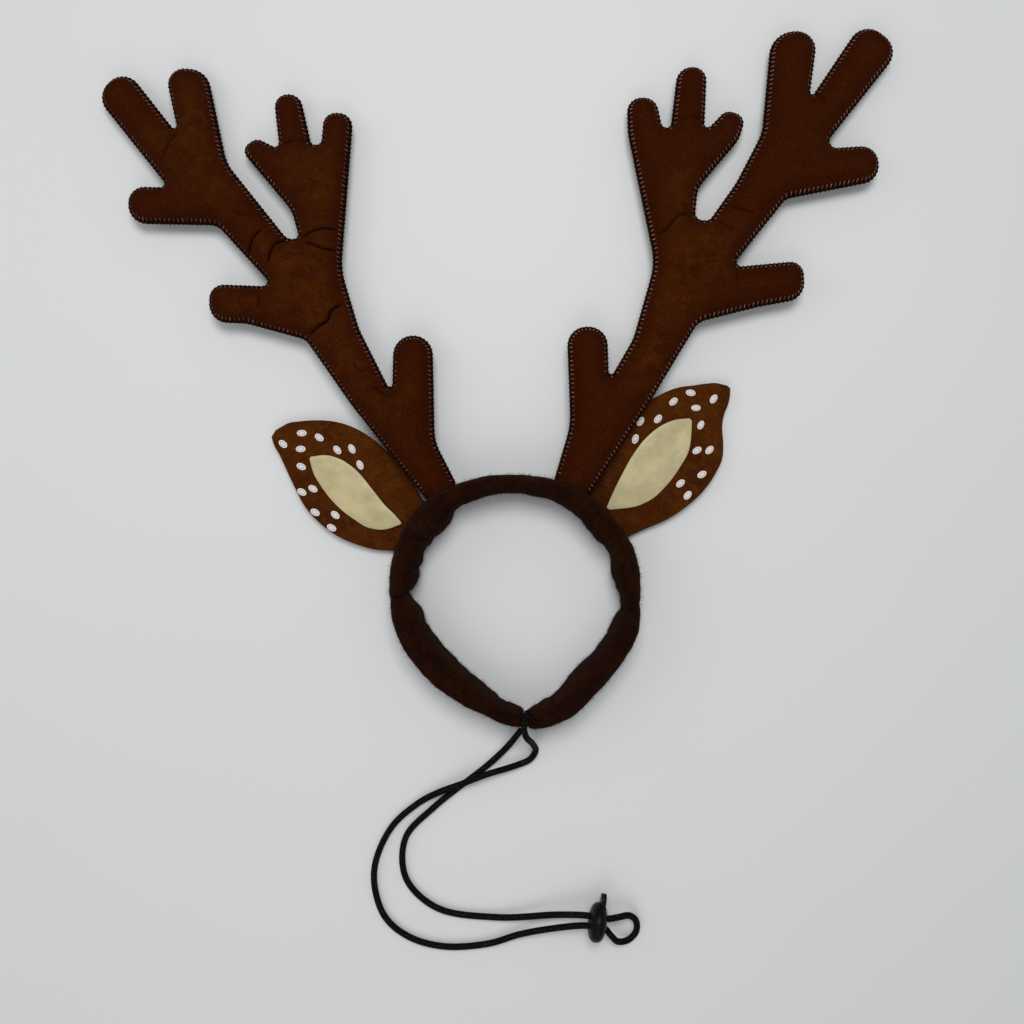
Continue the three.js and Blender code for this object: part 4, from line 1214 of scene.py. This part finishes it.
def stitch_row(run, inward, sizes, seat_y, height, glint_strength, seed):
    """Whip stitches over the edge: each is a thread that follows the felt's section from the
    front to the back, slanted a little along the edge."""
    along = arc_lengths(run)
    count = int((along[-1] - sizes.stitch_pitch) / sizes.stitch_pitch)
    places = (np.arange(count) + STITCH_START) * sizes.stitch_pitch
    start = np.stack([np.interp(places, along, run[:, k]) for k in range(2)], axis=1)
    into = unit(np.stack([np.interp(places, along, inward[:, k]) for k in range(2)], axis=1))
    forward = np.stack([into[:, 1], -into[:, 0]], axis=1)
    distance, face, proud, glint_share = np.array(STITCH_PATH).T
    felt = felt_height(np.maximum(distance * MM, STITCH_LEAST_REACH), sizes)
    lift = face * (felt + proud * MM)
    slant = STITCH_SLANT * np.linspace(1, -1, len(STITCH_PATH))
    flat = (start[:, None] + (distance * MM)[None, :, None] * into[:, None]
            + slant[None, :, None] * forward[:, None])
    seam = seam_height(flat[..., 1], seat_y, height)
    paths = np.concatenate([flat, (seam + lift[None])[..., None]], axis=2)
    paths[..., 2] = np.maximum(paths[..., 2], STITCH_RADIUS)
    radius = np.full(len(STITCH_PATH), STITCH_RADIUS)
    radius[[0, -1]] *= STITCH_TIP
    across = np.column_stack([forward, np.zeros(count)])
    vertices, faces = many_tubes(paths, across, radius, STITCH_SIDES)
    # Painted glints, dimmed at random and by the antler's glint strength.
    bright = glint_strength * np.random.default_rng(seed).uniform(GLINT_DIMMEST, 1, count)
    glint = np.repeat(bright[:, None] * glint_share[None], STITCH_SIDES, axis=1)
    return vertices, faces, {"glint_share": glint.ravel()}


# Ears

EAR_RINGS = 130
EAR_SIDES = 88
EAR_SQUARENESS = 3.2
PATCH_SQUARENESS = 2.6
EAR_EDGE = 0.6  # how much less square the section is sideways than upwards
EAR_BAND_GAP = 0.1 * MM
EAR_LUMP = 0.25 * MM
EAR_LUMP_SIZE = 10 * MM
PATCH_GAP = 0.3 * MM
PATCH_CREASE_SHADE = 0.2  # the crease strength at which the painted shade in a patch's creases is darkest
SPOT_LENGTH = 4.5 * MM
SPOT_WIDTH = 2.95 * MM
SPOT_RISE = 0.3 * MM
SPOT_SIDES = 28
SPOT_RINGS = (0.15, 0.4, 0.55, 0.66, 0.76, 0.88, 0.97, 1.0, 0.97, 0.5)
SPOT_GROOVE = 0.09 * MM
SPOT_GROOVE_PLACE = 0.68
SPOT_GROOVE_WIDTH = 0.09
SPOT_FOOT = (-0.4 * MM, -0.5 * MM)  # heights of the last two rings, inside the felt
SPOT_SHADES = ((0, 0.55), (0.5, 0.5), (0.62, 0), (0.76, 0), (0.82, 1), (1, 1))


def ear_frame(ear):
    """The ear's direction from the band to its tip, and its sideways direction to the antler."""
    heading = math.radians(ear["heading"])
    along = np.array([math.cos(heading), math.sin(heading)])
    return along, np.array([-along[1], along[0]]) * ear["side"]


def ear_height(share, across, sizes):
    """Height of the ear's back face: it drops to the tip and its edges curl forward."""
    fullness = np.sin(math.pi * np.clip(share, 0, 1))
    return EAR_BACK - EAR_TIP_DROP * share + EAR_CUP * fullness * (across / (sizes.ear_width / 2)) ** 2


def ear_sheet(ear, length, rows, low, high, sizes, squareness):
    """A rounded slab carried along the ear: its width follows the table, and its section is a
    rounded rectangle between two heights over the back face. It stays outside the band."""
    first, last = rows[0][0], rows[-1][0]
    share = first + (last - first) * np.sin(np.linspace(0, math.pi / 2, EAR_RINGS))
    row = {k: v[:, None] for k, v in table_at(rows, EAR_COLUMNS, "s", share).items()}
    around = (np.arange(EAR_SIDES) + 0.5) / EAR_SIDES * 2 * math.pi
    power = 2 / squareness
    sideways = squared_off(np.cos(around), power * EAR_EDGE)
    upward = squared_off(np.sin(around), power)
    middle, half = (row["inner"] - row["outer"]) / 2, (row["inner"] + row["outer"]) / 2
    across = (middle + half * sideways) * sizes.ear_width
    lift = (low + high) / 2 + (high - low) / 2 * upward[None]
    along, inner = ear_frame(ear)
    flat = np.array(ear["base"]) + (share[:, None, None] * length) * along + across[..., None] * inner
    height = ear_height(share[:, None], across, sizes) + lift
    radius = np.linalg.norm(flat, axis=2)
    limit = band_limit(flat, sizes.ring_radius) + EAR_BAND_GAP
    flat *= (np.maximum(radius, limit) / radius)[..., None]
    return np.concatenate([flat, height[..., None]], axis=2)


def ear_relief(points, seed):
    """Slow waves of the ear's felt, which its patch and spots follow."""
    return EAR_LUMP * noise(points * (1, 1, 0), EAR_LUMP_SIZE, seed)


def on_ear(ear, length, places, sizes):
    """Height of the ear's front face under places in the plane."""
    along, inner = ear_frame(ear)
    away = places - np.array(ear["base"])
    return ear_height(away @ along / length, away @ inner, sizes) + sizes.ear_thickness


def spot_discs(ear, length, sizes, seed):
    """Oval spots: each is a low dome with a shallow ring, sunk a little into the felt."""
    spots = np.array(ear["spots"], float)
    middle = photo_place(spots[:, 0], spots[:, 1], EAR_BACK + sizes.ear_thickness)
    tilt = np.radians(spots[:, 2])
    long_way = np.stack([np.cos(tilt), np.sin(tilt)], axis=1)
    short_way = np.stack([-np.sin(tilt), np.cos(tilt)], axis=1)
    ring = np.array(SPOT_RINGS)
    rise = SPOT_RISE * (1 - ring ** 4) - SPOT_GROOVE * bell(ring - SPOT_GROOVE_PLACE, SPOT_GROOVE_WIDTH)
    rise[-2:] = SPOT_FOOT
    turn = np.arange(SPOT_SIDES) * 2 * math.pi / SPOT_SIDES
    long_share = ring[:, None, None] * SPOT_LENGTH / 2 * np.cos(turn)[None, :, None]
    short_share = ring[:, None, None] * SPOT_WIDTH / 2 * np.sin(turn)[None, :, None]
    groups = []
    vertices = []
    for k in range(len(spots)):
        flat = middle[k] + long_share * long_way[k] + short_share * short_way[k]
        under = on_ear(ear, length, flat.reshape(-1, 2), sizes).reshape(flat.shape[:2])
        rings = np.concatenate([flat, (under + rise[:, None])[..., None]], axis=2)
        rings[..., 2] += ear_relief(rings, seed)
        disc, faces = closed_tube(rings)
        start = sum(len(v) for v in vertices)
        vertices.append(disc)
        groups += [group + start for group in faces]
    bright = np.interp(ring, *np.array(SPOT_SHADES).T)
    per_disc = np.append(np.repeat(bright, SPOT_SIDES), (bright[0], 1))
    return np.vstack(vertices), groups, {"ring": np.tile(per_disc, len(spots))}


# Drawcord

CORD_STEPS = 48
CORD_RINGS = 1900
CORD_SIDES = 32
BRAID_COLUMNS = 8
BRAID_PITCH = 1.35 * MM
BRAID_SLOPE = 0.55
BRAID_DEPTH = 0.16 * MM
BRAID_GROOVE = 0.55  # how far the braid sinks between two columns, as a share of its depth


def cord_surface(route, diameter):
    """A tube along the route whose radius follows a herringbone braid: in each column of the
    round, ovals lean the other way than in the next."""
    line = even_line(eased_line(route, CORD_STEPS), CORD_RINGS)
    places = arc_lengths(line)
    along = unit(np.gradient(line, axis=0))
    sideways = unit(np.cross(along, (0.0, 0.0, 1.0)))
    normal = np.cross(sideways, along)
    share = np.arange(CORD_SIDES) / CORD_SIDES
    column = np.floor(share * BRAID_COLUMNS)
    inside = share * BRAID_COLUMNS - column - 0.5
    lean = np.where(column % 2 == 0, 1, -1) * inside * BRAID_SLOPE
    wave = np.abs(np.cos(math.pi * (places[:, None] / BRAID_PITCH + lean[None])))
    raised = np.sqrt(wave) * (1 - (2 * np.abs(inside[None])) ** 3 * BRAID_GROOVE)
    radius = diameter / 2 - BRAID_DEPTH * (1 - raised)
    turn = share * 2 * math.pi
    rings = line[:, None] + radius[..., None] * (
        sideways[:, None] * np.cos(turn)[None, :, None] + normal[:, None] * np.sin(turn)[None, :, None])
    return rings, raised, line, places[-1]


# Cord lock

LOCK_RINGS = 18
LOCK_SIDES = 96
END_STEPS = 12
SHARP_ANGLE = math.radians(40)


def lock_place(points):
    """Points of the lock's own frame, with the strands along X and the tab along Y, as placed."""
    cosine, sine = math.cos(LOCK_TURN), math.sin(LOCK_TURN)
    turned = np.stack([
        points[..., 0] * cosine - points[..., 1] * sine,
        points[..., 0] * sine + points[..., 1] * cosine, points[..., 2]], axis=-1)
    return turned + np.array(LOCK_PLACE)


def round_ended(half_width, low, high):
    """A flat shape with a straight middle and two round ends, in the lock's own Z and Y."""
    turn = np.linspace(0, math.pi, END_STEPS)
    end = half_width * np.stack([np.cos(turn), np.sin(turn)], axis=1)
    return np.vstack([end + (0, high - half_width), -end + (0, low + half_width)])


def oblong(half_width, low, high):
    """A rectangle in the lock's own Z and Y."""
    return np.array([(-half_width, low), (half_width, low), (half_width, high), (-half_width, high)])


def prism(shape, low_x, high_x):
    """A flat shape carried straight along the lock's own X."""
    ends = [np.column_stack([np.full(len(shape), x), shape[:, 1], shape[:, 0]]) for x in (low_x, high_x)]
    return closed_tube(np.stack(ends))


def lock_disc():
    """A superellipse, flatter at its two faces, turned about the lock's own X."""
    half = LOCK_THICKNESS / 2
    turn = np.linspace(-math.pi / 2, 0, LOCK_RINGS)[1:-1]
    power = 2 / LOCK_SQUARENESS
    lower = np.stack([LOCK_RADIUS * np.cos(turn) ** power, half * squared_off(np.sin(turn), power)], axis=1)
    profile = np.vstack([lower, (LOCK_RADIUS, 0), lower[::-1] * (1, -1)])
    around = np.linspace(0, 2 * math.pi, LOCK_SIDES, endpoint=False)
    return closed_tube(np.stack([
        np.broadcast_to(profile[:, 1:], (len(profile), LOCK_SIDES)),
        profile[:, :1] * np.cos(around)[None], profile[:, :1] * np.sin(around)[None]], axis=-1))


def finished_mesh(piece):
    """The piece's mesh with its modifiers applied, which are then removed."""
    graph = bpy.context.evaluated_depsgraph_get()
    mesh = bpy.data.meshes.new_from_object(piece.evaluated_get(graph))
    piece.modifiers.clear()
    piece.data = mesh


def bevelled(piece, width, segments):
    """Rounds the piece's sharp edges."""
    bevel = piece.modifiers.new("soft_edges", "BEVEL")
    bevel.width = width
    bevel.segments = segments
    bevel.limit_method = "ANGLE"
    bevel.angle_limit = SHARP_ANGLE
    finished_mesh(piece)
    piece.data.shade_smooth()


def cut_by(piece, shapes):
    """Cuts named shapes, each its vertices and faces, out of the piece."""
    cutters = [solid_object(name, *shape) for name, shape in shapes.items()]
    for cutter in cutters:
        step = piece.modifiers.new("cut", "BOOLEAN")
        step.operation = "DIFFERENCE"
        step.solver = "EXACT"
        step.object = cutter
    finished_mesh(piece)
    for cutter in cutters:
        bpy.data.objects.remove(cutter)


class HEADBAND_OT_stage(bpy.types.Operator):
    """Adds the camera, the soft lights and the pale floor"""

    bl_idname = "headband.stage"
    bl_label = "Camera, lights and floor"

    def execute(self, context):
        scene = context.scene
        scene.view_settings.view_transform = "Standard"
        camera = bpy.data.objects.new("camera", bpy.data.cameras.new("camera"))
        camera.data.lens = CAMERA_LENS
        camera.data.sensor_width = CAMERA_SENSOR
        camera.location = CAMERA_PLACE
        scene.collection.objects.link(camera)
        scene.camera = camera
        for name, place, size, power in LIGHTS:
            light = bpy.data.objects.new(name, bpy.data.lights.new(name, "AREA"))
            light.data.shape = "DISK"
            light.data.size = size
            light.data.energy = power
            light.location = place
            direction = Vector(LIGHTS_AIM) - Vector(place)
            light.rotation_mode = "QUATERNION"
            light.rotation_quaternion = direction.to_track_quat("-Z", "Y")
            scene.collection.objects.link(light)
        world = bpy.data.worlds.new("studio")
        world.use_nodes = True
        sky = world.node_tree.nodes["Background"]
        sky.inputs["Color"].default_value = SKY_COLOUR
        sky.inputs["Strength"].default_value = SKY_STRENGTH
        scene.world = world
        corners = [(x * FLOOR_HALF, y * FLOOR_HALF, 0) for x, y in ((-1, -1), (1, -1), (1, 1), (-1, 1))]
        mesh = bpy.data.meshes.new("floor")
        mesh.from_pydata(corners, [], [(0, 1, 2, 3)])
        mesh.materials.append(floor_finish(scene.headband_colours.floor))
        floor = bpy.data.objects.new("floor", mesh)
        scene.collection.objects.link(floor)
        return {"FINISHED"}


class HEADBAND_OT_drawcord(bpy.types.Operator):
    """Adds the braided drawcord along its route"""

    bl_idname = "headband.drawcord"
    bl_label = "Drawcord"

    def execute(self, context):
        sizes, colours = context.scene.headband_sizes, context.scene.headband_colours
        rings, raised, line, length = cord_surface(CORD_ROUTE, sizes.cord_diameter)
        vertices, faces = closed_tube(rings)
        cord = put("elastic_drawcord", vertices, faces, cord_finish(colours.cord),
                   replaces=("elastic_cord",),
                   attributes={"raised": np.append(raised.ravel(), (0.5, 0.5))})
        return {"FINISHED"}


class HEADBAND_OT_lock(bpy.types.Operator):
    """Adds the cord lock's round body and its sliding press tab"""

    bl_idname = "headband.lock"
    bl_label = "Cord lock"

    def execute(self, context):
        finish = lock_finish(context.scene.headband_colours.lock)
        diameter = context.scene.headband_sizes.cord_diameter
        reach = STRAND_SPACING / 2 + diameter / 2 + STRAND_ROOM
        half_height = diameter / 2 + STRAND_ROOM
        half_width = half_height + PRESS_RAIL
        low = -reach - PRESS_RAIL
        top = LOCK_RADIUS + PRESS_STANDOUT
        pocket = half_width + LOCK_CLEARANCE
        pocket_low = low - PRESS_TRAVEL - LOCK_CLEARANCE
        pocket_half = PRESS_THICKNESS / 2 + LOCK_CLEARANCE
        body = solid_object("cord_lock_body", *lock_disc())
        cut_by(body, {
            "slot": prism(round_ended(half_height, -reach, reach),
                          -2 * LOCK_THICKNESS, 2 * LOCK_THICKNESS),
            "pocket": prism(oblong(pocket, pocket_low, top),
                            PRESS_OFFSET - pocket_half, PRESS_OFFSET + pocket_half)})
        bevelled(body, LOCK_EDGE, 2)
        tab = solid_object("cord_lock_tab", *prism(
            round_ended(half_width, low - half_width, top), PRESS_OFFSET - PRESS_THICKNESS / 2,
            PRESS_OFFSET + PRESS_THICKNESS / 2))
        cut_by(tab, {
            "window": prism(round_ended(half_height, -reach, reach + PRESS_TRAVEL),
                            -LOCK_THICKNESS, LOCK_THICKNESS),
            "foot": prism(oblong(pocket, 2 * low, low), -LOCK_THICKNESS, LOCK_THICKNESS)})
        bevelled(tab, PRESS_EDGE, 4)
        for piece, body_name, node in ((body, BODY, "lock_body"), (tab, TAB_BODY, "lock_press_tab")):
            mesh = piece.data
            points = np.zeros(len(mesh.vertices) * 3, np.float32)
            mesh.vertices.foreach_get("co", points)
            mesh.vertices.foreach_set("co", lock_place(points.reshape(-1, 3).astype(float)).ravel())
            mesh.materials.clear()
            mesh.materials.append(finish)
            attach(piece, body_name)
            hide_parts(node)
        return {"FINISHED"}


class HEADBAND_OT_band(bpy.types.Operator):
    """Adds the padded ring with its folded sleeve and its pile"""

    bl_idname = "headband.band"
    bl_label = "Band"

    def execute(self, context):
        sizes, colours = context.scene.headband_sizes, context.scene.headband_colours
        points, details, outward = band_surface(sizes)
        vertices, faces = closed_tube(points)
        finish = band_finish(colours.band)
        band = put("band_sleeve", vertices, faces, finish, replaces=("band",),
                   attributes={k: np.append(v.ravel(), (0, 0)) for k, v in details.items()})
        hairs, hair_faces = pile_hairs(points, outward, PILE_HAIRS, PILE_SEED)
        put("band_pile", hairs, hair_faces, finish)
        return {"FINISHED"}


class HEADBAND_OT_antlers(bpy.types.Operator):
    """Adds the two stuffed antlers and the whip stitches round their edges"""

    bl_idname = "headband.antlers"
    bl_label = "Antlers"

    def execute(self, context):
        sizes, colours = context.scene.headband_sizes, context.scene.headband_colours
        felt = felt_finish("antler_felt", colours.antler, 0.85)
        thread = thread_finish()
        # The fifth value of each row is the strength of the stitches' painted glints.
        for side, antler, height, creases, glint_strength, seed in (
                ("left", LEFT_ANTLER, sizes.left_antler_height, LEFT_CREASES, 0.8, 31),
                ("right", RIGHT_ANTLER, sizes.right_antler_height, RIGHT_CREASES, 1, 41)):
            vertices, faces, details, run, inward = antler_surface(antler, height, sizes, creases, seed)
            stuffed = put(f"antler_felt_{side}", vertices, faces, felt,
                          replaces=(f"antler_{side}",), attributes=details)
            stitches, threads, glint_share = stitch_row(
                run, inward, sizes, antler["seat"][1], height, glint_strength, seed)
            put(f"antler_stitches_{side}", stitches, threads, thread, attributes=glint_share)
        return {"FINISHED"}


class HEADBAND_OT_ears(bpy.types.Operator):
    """Adds the felt ears with their smooth patches and oval spots"""

    bl_idname = "headband.ears"
    bl_label = "Ears"

    def execute(self, context):
        sizes, colours = context.scene.headband_sizes, context.scene.headband_colours
        felt = felt_finish("ear_felt", colours.ear, 0)
        vinyl = vinyl_finish(colours.patch)
        white = spot_finish()
        for side, ear, length, creases, seed in (
                ("left", LEFT_EAR, sizes.left_ear_length, LEFT_PATCH_CREASES, 51),
                ("right", RIGHT_EAR, sizes.right_ear_length, RIGHT_PATCH_CREASES, 61)):
            sheet = ear_sheet(
                ear, length, ear["sections"], 0, sizes.ear_thickness, sizes, EAR_SQUARENESS)
            sheet[..., 2] += ear_relief(sheet, seed)
            vertices, faces = closed_tube(sheet)
            put(f"ear_felt_{side}", vertices, faces, felt, replaces=(f"ear_{side}",))
            low = sizes.ear_thickness + PATCH_GAP
            high = low + sizes.patch_thickness
            patch = ear_sheet(ear, length, ear["patch"], low, high, sizes, PATCH_SQUARENESS)
            sunk, strength = crease_depth(patch[..., :2].reshape(-1, 2), creases, EAR_BACK + low)
            in_front = np.tile(np.arange(EAR_SIDES) < EAR_SIDES // 2, len(patch))
            patch[..., 2] += ear_relief(patch, seed) - (sunk * in_front).reshape(patch.shape[:2])
            vertices, faces = closed_tube(patch)
            put(f"ear_vinyl_{side}", vertices, faces, vinyl,
                replaces=(f"ear_patch_{side}",),
                attributes={"crease_shade": np.append(strength / PATCH_CREASE_SHADE, (0, 0))})
            discs, groups, rings = spot_discs(ear, length, sizes, seed)
            put(f"ear_spots_{side}", discs, groups, white, attributes=rings)
        return {"FINISHED"}


class HEADBAND_PT_tools(bpy.types.Panel):
    """Lists the pieces of the headband and the sizes and colours that they follow"""

    bl_label = "Headband"
    bl_idname = "HEADBAND_PT_tools"
    bl_space_type = "VIEW_3D"
    bl_region_type = "UI"
    bl_category = "Headband"

    def draw(self, context):
        for operator in OPERATORS:
            self.layout.operator(operator.bl_idname)
        for group in (context.scene.headband_sizes, context.scene.headband_colours):
            for name in type(group).__annotations__:
                self.layout.prop(group, name)


OPERATORS = (
    HEADBAND_OT_stage,
    HEADBAND_OT_lock,
    HEADBAND_OT_drawcord,
    HEADBAND_OT_band,
    HEADBAND_OT_antlers,
    HEADBAND_OT_ears,
)
CLASSES = (HeadbandSizes, HeadbandColours, *OPERATORS, HEADBAND_PT_tools)


def register():
    """Registers the classes and hangs the sizes and colours on the scene."""
    for cls in CLASSES:
        bpy.utils.register_class(cls)
    bpy.types.Scene.headband_sizes = bpy.props.PointerProperty(type=HeadbandSizes)
    bpy.types.Scene.headband_colours = bpy.props.PointerProperty(type=HeadbandColours)


def unregister():
    """Undoes register."""
    del bpy.types.Scene.headband_sizes
    del bpy.types.Scene.headband_colours
    for cls in reversed(CLASSES):
        bpy.utils.unregister_class(cls)


def main():
    """Registers the classes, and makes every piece."""
    register()
    bpy.ops.headband.stage()
    bpy.ops.headband.lock()
    bpy.ops.headband.drawcord()
    bpy.ops.headband.band()
    bpy.ops.headband.antlers()
    bpy.ops.headband.ears()


if __name__ == "__main__":
    main()
